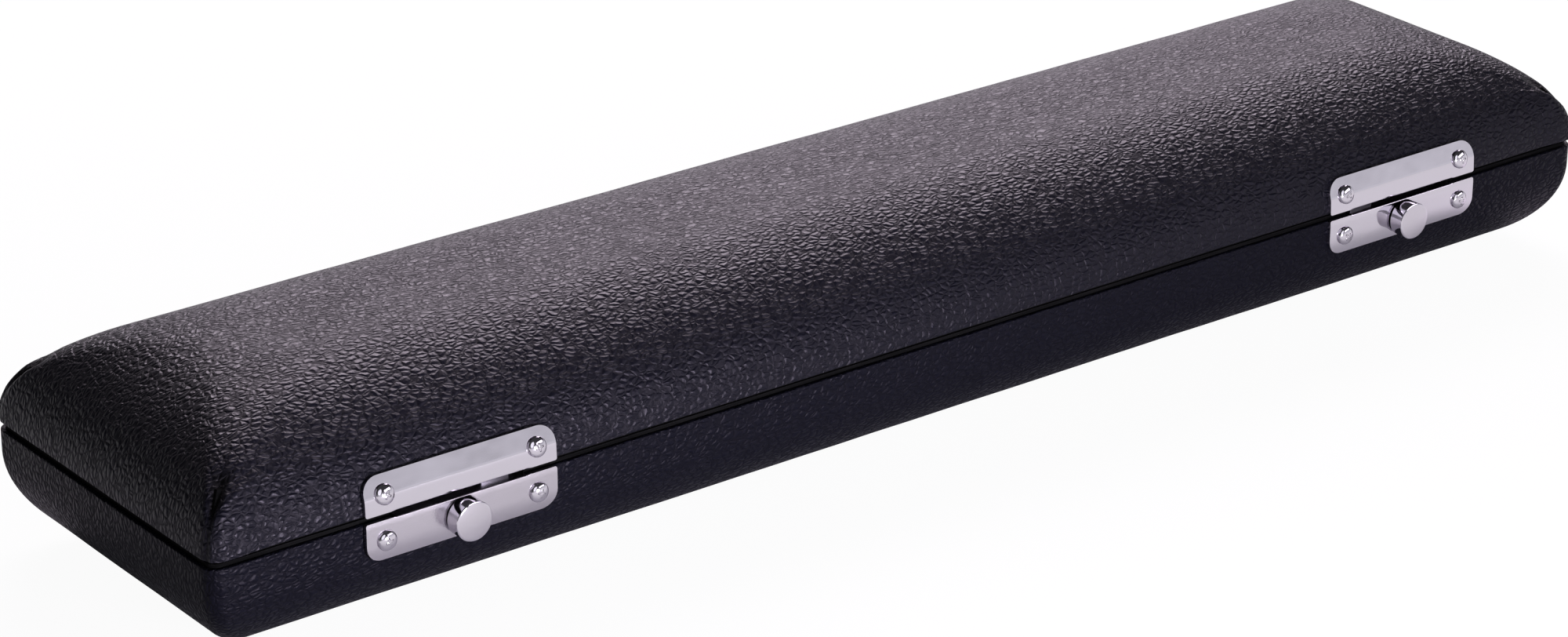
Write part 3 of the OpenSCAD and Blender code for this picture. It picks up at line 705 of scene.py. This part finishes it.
def wadding_material(name):
    """Loose off-white cotton."""
    material, nodes, links, output = new_material(name)
    place = nodes.new("ShaderNodeTexCoord").outputs["Object"]
    tufts = texture(nodes, links, "ShaderNodeTexNoise", place, TUFTS_PER_METRE).outputs["Fac"]
    principled(
        nodes, links, output,
        Base_Color=blend_sockets(nodes, links, "RGBA", ramp(nodes, links, tufts, 0.3, 0.7),
                                 COTTON_DARK, COTTON_LIGHT),
        Roughness=0.95, Sheen_Weight=0.4, Normal=bump(nodes, links, tufts, TUFT_HEIGHT))
    return material


wood = wood_material("black_wood")
cotton = wadding_material("wadding")


def lid_shell(inset):
    """The lid's form above the ceiling, moved in by an inset and open below."""
    corner = max(CORNER - inset, SMALLEST_CORNER)
    points = [(run, height, hip_round(run, corner))
              for run, height in dome_path(inset, CEILING, *DOME_ROWS)]
    return points, cap(DOME_RUN, CASE.z - inset, CASE.y)


outer_points, outer_cap = lid_shell(LEATHER)
bm = swept_form(outer_points + outer_cap, *DOME_STEPS)
bmesh.ops.solidify(bm, geom=bm.faces[:], thickness=DOME_BOARD)
finish_piece("lid_dome_board", bm, "lid", ["lid_dome"], [wood], crease=50)

inner_points, inner_cap = lid_shell(LEATHER + DOME_BOARD + WADDING_GAP)
below = cap(inner_points[0][0], CEILING, CORNER, 8)
bm = swept_form(below[::-1] + inner_points + inner_cap, *DOME_STEPS)
unsettle(bm, WADDING_UNEVENNESS)
for vert in bm.verts:
    vert.co.z += PRESSED_SHARE * max(0.0, PRESSED_BELOW - vert.co.z)
piece = finish_piece("lid_cotton", bm, "lid", ["lid_wadding"], [cotton], crease=70)


# Latch plates
# Two plates of chromed sheet metal to a latch, screwed to the case and folded in along the seam
# over their middle part. The lid's plate leans back with the dome. The base's plate follows the
# case's round, and has a slot for the knob's stem.
PLATE = 1 * MM
PLATE_HALF = 24 * MM
PLATE_GAP = 1.5 * MM
FLANGE_HALF = 16.5 * MM
FLANGE_REACH = 6 * MM
FLANGE_BLEND = 1.6 * MM
FLANGE_LEAD = 0.4 * MM
FOLD_ROUND = 0.3 * MM
PLATE_EASE = 0.18 * MM
PLATE_CORNER = 4 * MM
SEAM_CORNER = 0.5 * MM
AT_EDGE = 0.1 * MM
SCREW_X = 19.1 * MM
SCREW_HOLE = 1.1 * MM
FRONT = -CASE.y / 2
LID_LEAN = math.radians(3)
LID_BEND = math.radians(16)
LID_FACE = [(3.1 * MM, 0), (0.9 * MM, LID_BEND), (9 * MM, 0)]
BASE_LEAN = math.radians(-7)
BASE_BEND = math.radians(12)
BASE_FACE = [(0.6 * MM, 0), (0.25 * MM, -BASE_LEAN), (3.9 * MM, 0), (4.2 * MM, BASE_BEND),
             (9 * MM, 0)]
FOLD_ROWS = 10
FACE_ROWS = 26
KNOB_HEIGHT = 21.4 * MM


def follow(start, lean, parts, distance):
    """Place (inset, height) and lean after a distance along straight and curved parts."""
    inset, height = start
    for length, turn in parts:
        step = min(length, distance)
        if abs(turn) < 1e-9:
            inset += step * math.sin(lean)
            height += step * math.cos(lean)
        else:
            radius = length / turn
            after = lean + turn * step / length
            inset += radius * (math.cos(lean) - math.cos(after))
            height += radius * (math.sin(after) - math.sin(lean))
            lean = after
        distance -= step
        if distance <= 0:
            break
    return inset, height, lean


class Plate:
    """A folded plate's section, measured up its face from the seam side, as if on the lid."""

    def __init__(self, lean, parts):
        self.low = SEAM + PLATE_GAP / 2
        turn = math.pi / 2 + lean
        self.fold = FOLD_ROUND * turn
        self.flat = FLANGE_REACH - FOLD_ROUND
        self.end = FOLD_ROUND - self.fold - self.flat
        self.folded = [(self.flat, 0), (self.fold, turn)] + parts
        self.plain = [(FOLD_ROUND, 0)] + parts
        self.lean = lean

    def place(self, x, up, deep=0.0):
        """Inset, height and lean at a distance across and up the plate, and deep into it."""
        inset, height, lean = follow((FLANGE_REACH - PLATE, self.low), -math.pi / 2, self.folded,
                                     up - self.end)
        share = smooth((abs(x) - FLANGE_HALF + FLANGE_LEAD) / FLANGE_BLEND)
        if share > 0 and up >= -1e-6:
            foot = follow((FLANGE_REACH - PLATE, self.low), -math.pi / 2, self.folded,
                          FOLD_ROUND - self.end)
            start = (foot[0] - FOLD_ROUND * math.sin(self.lean),
                     foot[1] - FOLD_ROUND * math.cos(self.lean))
            plain = follow(start, self.lean, self.plain, max(0.0, up))
            inset += share * (plain[0] - inset)
            height += share * (plain[1] - height)
            lean += share * (plain[2] - lean)
        return (inset + deep * math.cos(lean), height - deep * math.sin(lean), lean)


lid_section = Plate(LID_LEAN, LID_FACE)
base_section = Plate(BASE_LEAN, BASE_FACE)


def add_hole(bm, x, y, radius, reach=0.0):
    """A round hole, or a slot that reaches further to the left, as a loop of edges."""
    made = bmesh.ops.create_circle(bm, segments=28, radius=radius,
                                   matrix=Matrix.Translation((x, y, 0)))["verts"]
    for vert in made:
        if vert.co.x < x - 1e-7:
            vert.co.x -= reach


def plate_blank(section, height, holes, window):
    """The flat blank of a plate with its flange, holes and eased edges, cut fine for bending."""
    bm = bmesh.new()
    bmesh.ops.create_grid(bm, x_segments=1, y_segments=1, size=0.5)
    bmesh.ops.scale(bm, verts=bm.verts, vec=(2 * PLATE_HALF, height, 1))
    bmesh.ops.translate(bm, verts=bm.verts, vec=(0, height / 2, 0))
    for radius, level in ((PLATE_CORNER, height), (SEAM_CORNER, 0)):
        corners = [vert for vert in bm.verts if abs(vert.co.x) > PLATE_HALF - AT_EDGE
                   and abs(vert.co.y - level) < AT_EDGE]
        round_off(bm, corners, radius, 8, "VERTICES")
    for side in (-1, 1):
        cut_through(bm, (side * FLANGE_HALF, 0, 0), (1, 0, 0), near=1e-7)
    seam_edge = [edge for edge in bm.edges
                 if all(abs(vert.co.y) < 1e-6 and abs(vert.co.x) < FLANGE_HALF + 1e-6
                        for vert in edge.verts)]
    flange, _ = extruded(bm, seam_edge)
    bmesh.ops.translate(bm, verts=flange, vec=(0, section.end, 0))
    outline_only(bm)
    for hole in holes:
        add_hole(bm, *hole)
    if window:
        made = bmesh.ops.create_grid(bm, x_segments=1, y_segments=1, size=0.5)["verts"]
        low, high = window
        bmesh.ops.scale(bm, verts=made, vec=(high[0] - low[0], high[1] - low[1], 1))
        bmesh.ops.translate(bm, verts=made,
                            vec=((low[0] + high[0]) / 2, (low[1] + high[1]) / 2, 0))
        bmesh.ops.delete(bm, geom=bm.faces[:], context="FACES_ONLY")
    bmesh.ops.triangle_fill(bm, use_beauty=True, edges=bm.edges[:])
    made = bmesh.ops.extrude_face_region(bm, geom=bm.faces[:], use_keep_orig=True)["geom"]
    bmesh.ops.translate(bm, verts=[item for item in made if isinstance(item, bmesh.types.BMVert)],
                        vec=(0, 0, -PLATE))
    bmesh.ops.recalc_face_normals(bm, faces=bm.faces)
    rims = [edge for edge in sharp_edges(bm, 60)
            if all(vert.co.z > -PLATE / 2 for vert in edge.verts)]
    round_off(bm, rims, PLATE_EASE, 2)
    cuts = [FOLD_ROUND - section.fold * i / FOLD_ROWS for i in range(FOLD_ROWS + 1)]
    cuts += [FOLD_ROUND + (height - FOLD_ROUND) * i / FACE_ROWS for i in range(1, FACE_ROWS)]
    for up in cuts:
        cut_through(bm, (0, up, 0), (0, 1, 0))
    for side in (-1, 1):
        for i in range(5):
            cut_through(bm, (side * (FLANGE_HALF + FLANGE_LEAD * (i - 1)), 0, 0), (1, 0, 0))
    return bm


def bend_plate(bm, section, above, side):
    """Bends a blank to its section and sets it at the left latch (-1) or the right one (1)."""
    for vert in bm.verts:
        inset, height, lean = section.place(vert.co.x, vert.co.y, -vert.co.z)
        vert.co = (side * LATCH_X + (vert.co.x if side < 0 else -vert.co.x), FRONT + inset,
                   height if above else 2 * SEAM - height)
    bmesh.ops.recalc_face_normals(bm, faces=bm.faces)


DENTS_PER_METRE = 90
PITS_PER_METRE = 4200


def metal_material(name, colour, roughness, unevenness, pits):
    """Plated metal: faint unevenness, and fine pits where the polish is poor."""
    material, nodes, links, output = new_material(name)
    place = nodes.new("ShaderNodeTexCoord").outputs["Object"]
    wave = texture(nodes, links, "ShaderNodeTexNoise", place, DENTS_PER_METRE).outputs["Fac"]
    speck = texture(nodes, links, "ShaderNodeTexNoise", place, PITS_PER_METRE).outputs["Fac"]
    height = maths(nodes, links, "MULTIPLY", wave, unevenness)
    height = maths(nodes, links, "MULTIPLY_ADD", speck, pits, height)
    principled(
        nodes, links, output, Base_Color=colour, Metallic=1.0,
        Roughness=ramp(nodes, links, speck, 0.3, 0.7, roughness * 0.8, roughness * 1.3),
        Normal=bump(nodes, links, height, 1.0 * MM))
    return material


chrome = metal_material("polished_chrome", (0.58, 0.55, 0.605, 1), roughness=0.07,
                        unevenness=0.2, pits=0.003)
satin_chrome = metal_material("satin_chrome", (0.5, 0.47, 0.515, 1), roughness=0.18,
                              unevenness=0.1, pits=0.02)
# Painted shade: steel coloured far darker than bare steel, so the tongue in the gap looks shaded.
steel = metal_material("plain_steel", (0.1, 0.098, 0.105, 1), roughness=0.42,
                       unevenness=0.1, pits=0.02)

LID_PLATE_HEIGHT = 8.7 * MM
BASE_PLATE_HEIGHT = 9.1 * MM
LID_SCREW_UP = 4.3 * MM
BASE_SCREW_HEIGHT = 21.1 * MM
STEM_HOLE = 1.5 * MM
KNOB_TRAVEL = 2.5 * MM
TONGUE_WINDOW = (6.7 * MM, 14.3 * MM)
TONGUE_DEPTH = (1.9 * MM, 4.1 * MM)
base_screw_up = SEAM - PLATE_GAP / 2 - BASE_SCREW_HEIGHT
stem_up = SEAM - PLATE_GAP / 2 - KNOB_HEIGHT
for side, word in ((-1, "left"), (1, "right")):
    holes = [(way * SCREW_X, LID_SCREW_UP, SCREW_HOLE) for way in (-1, 1)]
    bm = plate_blank(lid_section, LID_PLATE_HEIGHT, holes, None)
    bend_plate(bm, lid_section, True, side)
    finish_piece(f"{word}_lid_plate", bm, "lid",
                 [f"latch_{word}_lid_plate"], [chrome], crease=20)
    holes = [(way * SCREW_X, base_screw_up, SCREW_HOLE) for way in (-1, 1)]
    holes.append((0, stem_up, STEM_HOLE, KNOB_TRAVEL))
    reach = base_section.end + FLANGE_REACH - PLATE
    window = ((TONGUE_WINDOW[0], reach - TONGUE_DEPTH[1]),
              (TONGUE_WINDOW[1], reach - TONGUE_DEPTH[0]))
    bm = plate_blank(base_section, BASE_PLATE_HEIGHT, holes, window)
    bend_plate(bm, base_section, False, side)
    finish_piece(f"{word}_base_plate", bm, "base",
                 [f"latch_{word}_base_plate"], [satin_chrome if side < 0 else chrome], crease=20)


# Knobs and works
# A round turned button on a stem through the base's plate, with a flat brushed face, a thin bevel
# and a polished side. Behind it a steel slide with a hook catches the tongue that hangs from the
# lid's plate, and a coil spring of steel wire between the guide's end and the slide pushes it back.
KNOB_PROFILE = [(0, -3), (1.3, -3), (1.3, 0.4), (4.2, 0.4), (4.5, 0.7), (4.5, 4.1), (4.42, 4.26),
                (4.26, 4.36), (4.12, 4.4), (0, 4.4)]
KNOB_FACE_ABOVE = 4 * MM
KNOB_SIDES = 72


def turned(profile, steps):
    """A solid turned about Z from points (radius, height)."""
    bm = bmesh.new()
    verts = [bm.verts.new((radius, 0, height)) for radius, height in profile]
    edges = [bm.edges.new(pair) for pair in zip(verts, verts[1:])]
    bmesh.ops.spin(bm, geom=verts + edges, cent=(0, 0, 0), axis=(0, 0, 1), angle=2 * math.pi,
                   steps=steps, use_merge=True)
    bmesh.ops.remove_doubles(bm, verts=bm.verts, dist=1e-7)
    bmesh.ops.recalc_face_normals(bm, faces=bm.faces)
    return bm


knob_face = metal_material("knob_face", (0.55, 0.52, 0.57, 1), roughness=0.14,
                           unevenness=0.05, pits=0.008)
for side, word in ((-1, "left"), (1, "right")):
    bm = turned([(radius * MM, height * MM) for radius, height in KNOB_PROFILE], KNOB_SIDES)
    for face in bm.faces:
        face.material_index = int(face.normal.z > 0.99
                                  and face.calc_center_median().z > KNOB_FACE_ABOVE)
    place = Matrix.Translation((side * LATCH_X, FRONT - PLATE, KNOB_HEIGHT))
    bmesh.ops.transform(bm, matrix=place @ Matrix.Rotation(math.pi / 2, 4, "X"), verts=bm.verts)
    finish_piece(f"{word}_knob", bm, f"latch_{word}",
                 [f"latch_{word}_knob"], [chrome, knob_face], crease=20)

COIL_TURNS = 6
COIL_STEPS = 20
COIL_WIRE = 0.15 * MM
WIRE_SIDES = 10
for side, word in ((-1, "left"), (1, "right")):
    low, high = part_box(f"latch_{word}_spring")
    middle = (low + high) / 2
    ring = (high.z - low.z) / 2 - COIL_WIRE
    bm = bmesh.new()
    bmesh.ops.create_circle(bm, segments=WIRE_SIDES, radius=COIL_WIRE,
                            matrix=Matrix.Translation((0, ring, 0)))
    pitch = (high.x - low.x - 2 * COIL_WIRE) / (COIL_TURNS * COIL_STEPS)
    bmesh.ops.spin(bm, geom=bm.verts[:] + bm.edges[:], cent=(0, 0, 0), axis=(1, 0, 0),
                   dvec=(pitch, 0, 0), angle=2 * math.pi * COIL_TURNS,
                   steps=COIL_TURNS * COIL_STEPS, use_merge=False)
    bmesh.ops.holes_fill(bm, edges=[edge for edge in bm.edges if edge.is_boundary])
    bmesh.ops.translate(bm, verts=bm.verts, vec=(low.x + COIL_WIRE, middle.y, middle.z))
    coil = finish_piece(f"{word}_spring", bm, None, [f"latch_{word}_spring"],
                        [steel], crease=60)
    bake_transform(coil)


# Screws
# Small chrome-plated wood screws with domed heads, a thin rim and a crossed recess. There are four
# on each latch and four on each hinge.
HEAD_RADIUS = 2.3 * MM
HEAD_HEIGHT = 1.35 * MM
HEAD_RIM = 0.25 * MM
HEAD_EASE = 0.1 * MM
SHANK_RADIUS = 1.1 * MM
SHANK_LENGTH = 6 * MM
POINT_LENGTH = 7.4 * MM
RECESS = 0.75 * MM
CROSS_HALF = 0.2 * MM
CROSS_REACH = 0.9 * MM
CROSS_TAPER = 0.8
SCREW_SIDES = 40
LID_SCREW_LEAN = math.radians(13)


def screw(matrix, turn):
    """One screw whose head sits on the plane z = 0 of a matrix, its cross turned by an angle."""
    dome = [(HEAD_RADIUS * math.sin(math.radians(a)),
             HEAD_RIM + (HEAD_HEIGHT - HEAD_RIM) * math.cos(math.radians(a)))
            for a in range(0, 90, 9)]
    profile = dome + [(HEAD_RADIUS, HEAD_RIM), (HEAD_RADIUS, HEAD_EASE),
                      (HEAD_RADIUS - HEAD_EASE, 0.0), (SHANK_RADIUS, 0.0),
                      (SHANK_RADIUS, -SHANK_LENGTH), (0.0, -POINT_LENGTH)]
    bm = turned(profile, SCREW_SIDES)
    for size in (CROSS_HALF, CROSS_REACH):
        for way in (Vector((1, 0, 0)), Vector((0, 1, 0))):
            for sign in (-1, 1):
                cut_through(bm, way * size * sign, way)
    cross = []
    for face in bm.faces:
        spot = face.calc_center_median()
        near, far = sorted((abs(spot.x), abs(spot.y)))
        if near < CROSS_HALF and far < CROSS_REACH and spot.z > HEAD_RIM:
            cross.append(face)
    made = bmesh.ops.extrude_face_region(bm, geom=cross)["geom"]
    for vert in [item for item in made if isinstance(item, bmesh.types.BMVert)]:
        vert.co.z = HEAD_HEIGHT - RECESS * (1.1 - 0.5 * vert.co.to_2d().length / CROSS_REACH)
        vert.co.x *= CROSS_TAPER
        vert.co.y *= CROSS_TAPER
    bmesh.ops.transform(bm, matrix=matrix @ Matrix.Rotation(turn, 4, "Z"), verts=bm.verts)
    return bm


def screws(name, body, node, spots):
    """A set of screws as one piece, from (place, outward direction, turn)."""
    whole = bmesh.new()
    for place, way, turn in spots:
        matrix = Matrix.Translation(place) @ Vector(way).to_track_quat("Z", "X").to_matrix().to_4x4()
        one = screw(matrix, turn)
        mesh = bpy.data.meshes.new("one_screw")
        one.to_mesh(mesh)
        one.free()
        whole.from_mesh(mesh)
        bpy.data.meshes.remove(mesh)
    finish_piece(name, whole, body, [node], [chrome], crease=30)


def plate_screw(section, side, way, up, above, lean, turn):
    """Where a screw sits on a latch plate."""
    inset, height, _ = section.place(way * SCREW_X, up)
    sign = 1 if above else -1
    place = (side * LATCH_X - side * way * SCREW_X, FRONT + inset,
             height if above else 2 * SEAM - height)
    return place, (0, -math.cos(lean), sign * math.sin(lean)), turn


for side, word in ((-1, "left"), (1, "right")):
    screws(f"{word}_lid_plate_screws", "lid", f"latch_{word}_lid_screws",
           [plate_screw(lid_section, side, way, LID_SCREW_UP, True, LID_SCREW_LEAN, turn)
            for way, turn in ((-1, 0.5 + side), (1, 1.1 + side))])
    screws(f"{word}_base_plate_screws", "base", f"latch_{word}_base_screws",
           [plate_screw(base_section, side, way, base_screw_up, False, 0.0, turn)
            for way, turn in ((-1, 0.9 - side), (1, 0.3 - side))])


# Hinges
# Two hinges at the back, each of two curved chrome-plated leaves whose knuckles share a pin. The
# middle knuckle has a lip that stops the open lid.
HINGE_SCREW_X = 9 * MM
HINGE_SCREW_AWAY = 5.89 * MM
HINGE_EASE = 0.12 * MM
WORKS_EASE = 0.08 * MM


def eased_copy(name, node, body, material, ease):
    """A copy of a CAD part with its sharp edges eased."""
    bm = bmesh.new()
    bm.from_mesh(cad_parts[node].data)
    bmesh.ops.remove_doubles(bm, verts=bm.verts, dist=1e-6)
    bmesh.ops.dissolve_limit(bm, angle_limit=math.radians(1.5), verts=bm.verts, edges=bm.edges)
    round_off(bm, sharp_edges(bm, 50), ease, 2)
    bmesh.ops.triangulate(bm, faces=[face for face in bm.faces if len(face.verts) > 4])
    finish_piece(name, bm, body, [node], [material], crease=25)


for side, word in ((-1, "left"), (1, "right")):
    for part, body in (("base_leaf", "base"), ("lid_leaf", "lid")):
        eased_copy(f"{word}_hinge_{part}", f"hinge_{word}_{part}", body,
                   chrome, HINGE_EASE)
    for part, above in (("lid", True), ("base", False)):
        rise = SEAM + HINGE_SCREW_AWAY - DOME_START if above else 0.0
        lean = math.asin(rise / SIDE_ROUND)
        spots = []
        for way in (-1, 1):
            out = -FRONT - SIDE_ROUND * (1 - math.cos(lean)) + PLATE * math.cos(lean)
            height = SEAM + (HINGE_SCREW_AWAY if above else -HINGE_SCREW_AWAY)
            spots.append(((side * LATCH_X + way * HINGE_SCREW_X, out,
                           height + PLATE * math.sin(lean)),
                          (0, math.cos(lean), math.sin(lean)), 0.4 + way + side))
        screws(f"{word}_hinge_{part}_screws", part, f"hinge_{word}_{part}_screws", spots)
    for part, body in (("tongue", "lid"), ("guide", "base"), ("slide", f"latch_{word}")):
        eased_copy(f"{word}_{part}", f"latch_{word}_{part}", body, steel,
                   WORKS_EASE)


# Plush lining
# The tray is lined with soft navy plush over padded rails and blocks that hold the joints of the
# flute. The lid has a padded plush panel, and plush on its walls.
PLUSH_DARK = (0.006, 0.009, 0.035, 1)
PLUSH_LIGHT = (0.014, 0.02, 0.07, 1)
PLUSH_SHEEN = (0.35, 0.42, 0.8, 1)
PILE_PER_METRE = 2400
PILE_HEIGHT = 0.35 * MM
BRUSHED_PER_METRE = 60
BRUSHED_ALONG = (0.5, 1, 1)


def plush_material(name):
    """Navy plush: short dense pile, brushed a little unevenly."""
    material, nodes, links, output = new_material(name)
    place = nodes.new("ShaderNodeTexCoord").outputs["Object"]
    pile = texture(nodes, links, "ShaderNodeTexNoise", place, PILE_PER_METRE).outputs["Fac"]
    drawn = vector_maths(nodes, links, "MULTIPLY", place, BRUSHED_ALONG)
    brushed = texture(nodes, links, "ShaderNodeTexNoise", drawn, BRUSHED_PER_METRE).outputs["Fac"]
    principled(
        nodes, links, output,
        Base_Color=blend_sockets(nodes, links, "RGBA", ramp(nodes, links, brushed, 0.3, 0.7),
                                 PLUSH_DARK, PLUSH_LIGHT),
        Roughness=0.9, Sheen_Weight=0.7, Sheen_Roughness=0.35, Sheen_Tint=PLUSH_SHEEN,
        Specular_IOR_Level=0.2,
        Normal=bump(nodes, links, maths(nodes, links, "MULTIPLY_ADD", brushed, 0.6, pile),
                    PILE_HEIGHT))
    return material


plush = plush_material("plush")
PAD_UNEVENNESS = 0.12 * MM
END_ROUND = 0.8 * MM


def soft_block(node, round_top, axis, steps, underside=False):
    """A padded block that fills a CAD block's box, its long upper edges rounded."""
    low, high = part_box(node)
    size = high - low
    bm = bmesh.new()
    bmesh.ops.create_cube(bm, size=1)
    bmesh.ops.scale(bm, verts=bm.verts, vec=size)
    bmesh.ops.translate(bm, verts=bm.verts, vec=(low + high) / 2)
    face_height = low.z if underside else high.z
    across = 1 - axis
    for way, radius in ((axis, round_top), (across, min(round_top, END_ROUND))):
        edges = [edge for edge in bm.edges
                 if abs(edge.verts[0].co[way] - edge.verts[1].co[way]) > size[way] * 0.5
                 and all(abs(vert.co.z - face_height) < 1e-6 for vert in edge.verts)]
        round_off(bm, edges, radius, 6)
    for way in (axis, across, 2):
        count = max(1, round(size[way] / steps))
        for i in range(1, count):
            place, normal = Vector((0, 0, 0)), Vector((0, 0, 0))
            place[way] = low[way] + size[way] * i / count
            normal[way] = 1
            cut_through(bm, place, normal)
    unsettle(bm, PAD_UNEVENNESS)
    return bm


RAIL_ROUND = 1.8 * MM
RAIL_STEP = 3 * MM
for name, node, axis in (("front_rail", "insert_front_rail", 0),
                         ("centre_rail", "insert_centre_rail", 0),
                         ("back_rail", "insert_back_rail", 0),
                         ("left_block", "insert_left_block", 1),
                         ("right_block", "insert_right_block", 1),
                         ("divider", "insert_divider", 1)):
    bm = soft_block(node, RAIL_ROUND, axis, RAIL_STEP)
    finish_piece(name, bm, "base", [node], [plush], crease=60)

PAD_ROUND = 0.5 * MM
PAD_STEP = 4 * MM
bm = soft_block("insert_floor_pad", PAD_ROUND, 0, PAD_STEP)
finish_piece("floor_pad", bm, "base", ["insert_floor_pad"], [plush], crease=60)

PANEL_ROUND = 0.9 * MM
PANEL_SWELL = 1.2 * MM
PANEL_SWELL_RUN = 0.3
PANEL_BACK = 0.5 * MM
PANEL_PRESSED_IN = (1.0015, 1.008, 1)
bm = soft_block("lid_pad", PANEL_ROUND, 0, PAD_STEP, underside=True)
bmesh.ops.scale(bm, verts=bm.verts, vec=PANEL_PRESSED_IN)
low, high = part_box("lid_pad")
for vert in bm.verts:
    if vert.co.z < high.z - PANEL_BACK:
        edge = 1 - max(abs(vert.co.x) / high.x, abs(vert.co.y) / high.y)
        vert.co.z -= PANEL_SWELL * smooth(edge / PANEL_SWELL_RUN)
finish_piece("lid_panel", bm, "lid", ["lid_pad"], [plush], crease=60)

WALL_PLUSH = 0.8 * MM
WALL_PLUSH_EDGE = 0.35 * MM
WALL_CORNER = 1.2 * MM
WALL_ROWS = 4
WALL_STEP = 4 * MM
low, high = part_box("lid_wall_lining")
bm = bmesh.new()
bmesh.ops.create_grid(bm, x_segments=1, y_segments=1, size=0.5)
bmesh.ops.scale(bm, verts=bm.verts, vec=(high.x - low.x, high.y - low.y, 1))
round_off(bm, bm.verts[:], WALL_CORNER, 5, "VERTICES")
bmesh.ops.translate(bm, verts=bm.verts, vec=(0, 0, low.z))
bmesh.ops.delete(bm, geom=bm.faces[:], context="FACES_ONLY")
for edge in bm.edges[:]:
    if edge.calc_length() > 10 * MM:
        bmesh.ops.subdivide_edges(bm, edges=[edge], cuts=round(edge.calc_length() / WALL_STEP))
edges = bm.edges[:]
for _ in range(WALL_ROWS):
    verts, edges = extruded(bm, edges)
    bmesh.ops.translate(bm, verts=verts, vec=(0, 0, (high.z - low.z) / WALL_ROWS))
thicken(bm, WALL_PLUSH, WALL_PLUSH_EDGE)
finish_piece("lid_wall_plush", bm, "lid", ["lid_wall_lining"], [plush], crease=60)


# Carried-over parts
# The plain boards of the base and the lid, stained black, and the steel hinge pins keep their CAD
# shape and take their finishes here.
boards = ["base_floor"] + [f"{body}_{board}" for body in ("base", "lid")
                           for board in ("front_wall", "back_wall", "left_end", "right_end")]
finishes = {board: wood for board in boards}
finishes.update({f"hinge_{word}_pin": steel for word in ("left", "right")})
for name, material in finishes.items():
    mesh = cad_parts[name].data
    mesh.materials.clear()
    mesh.materials.append(material)
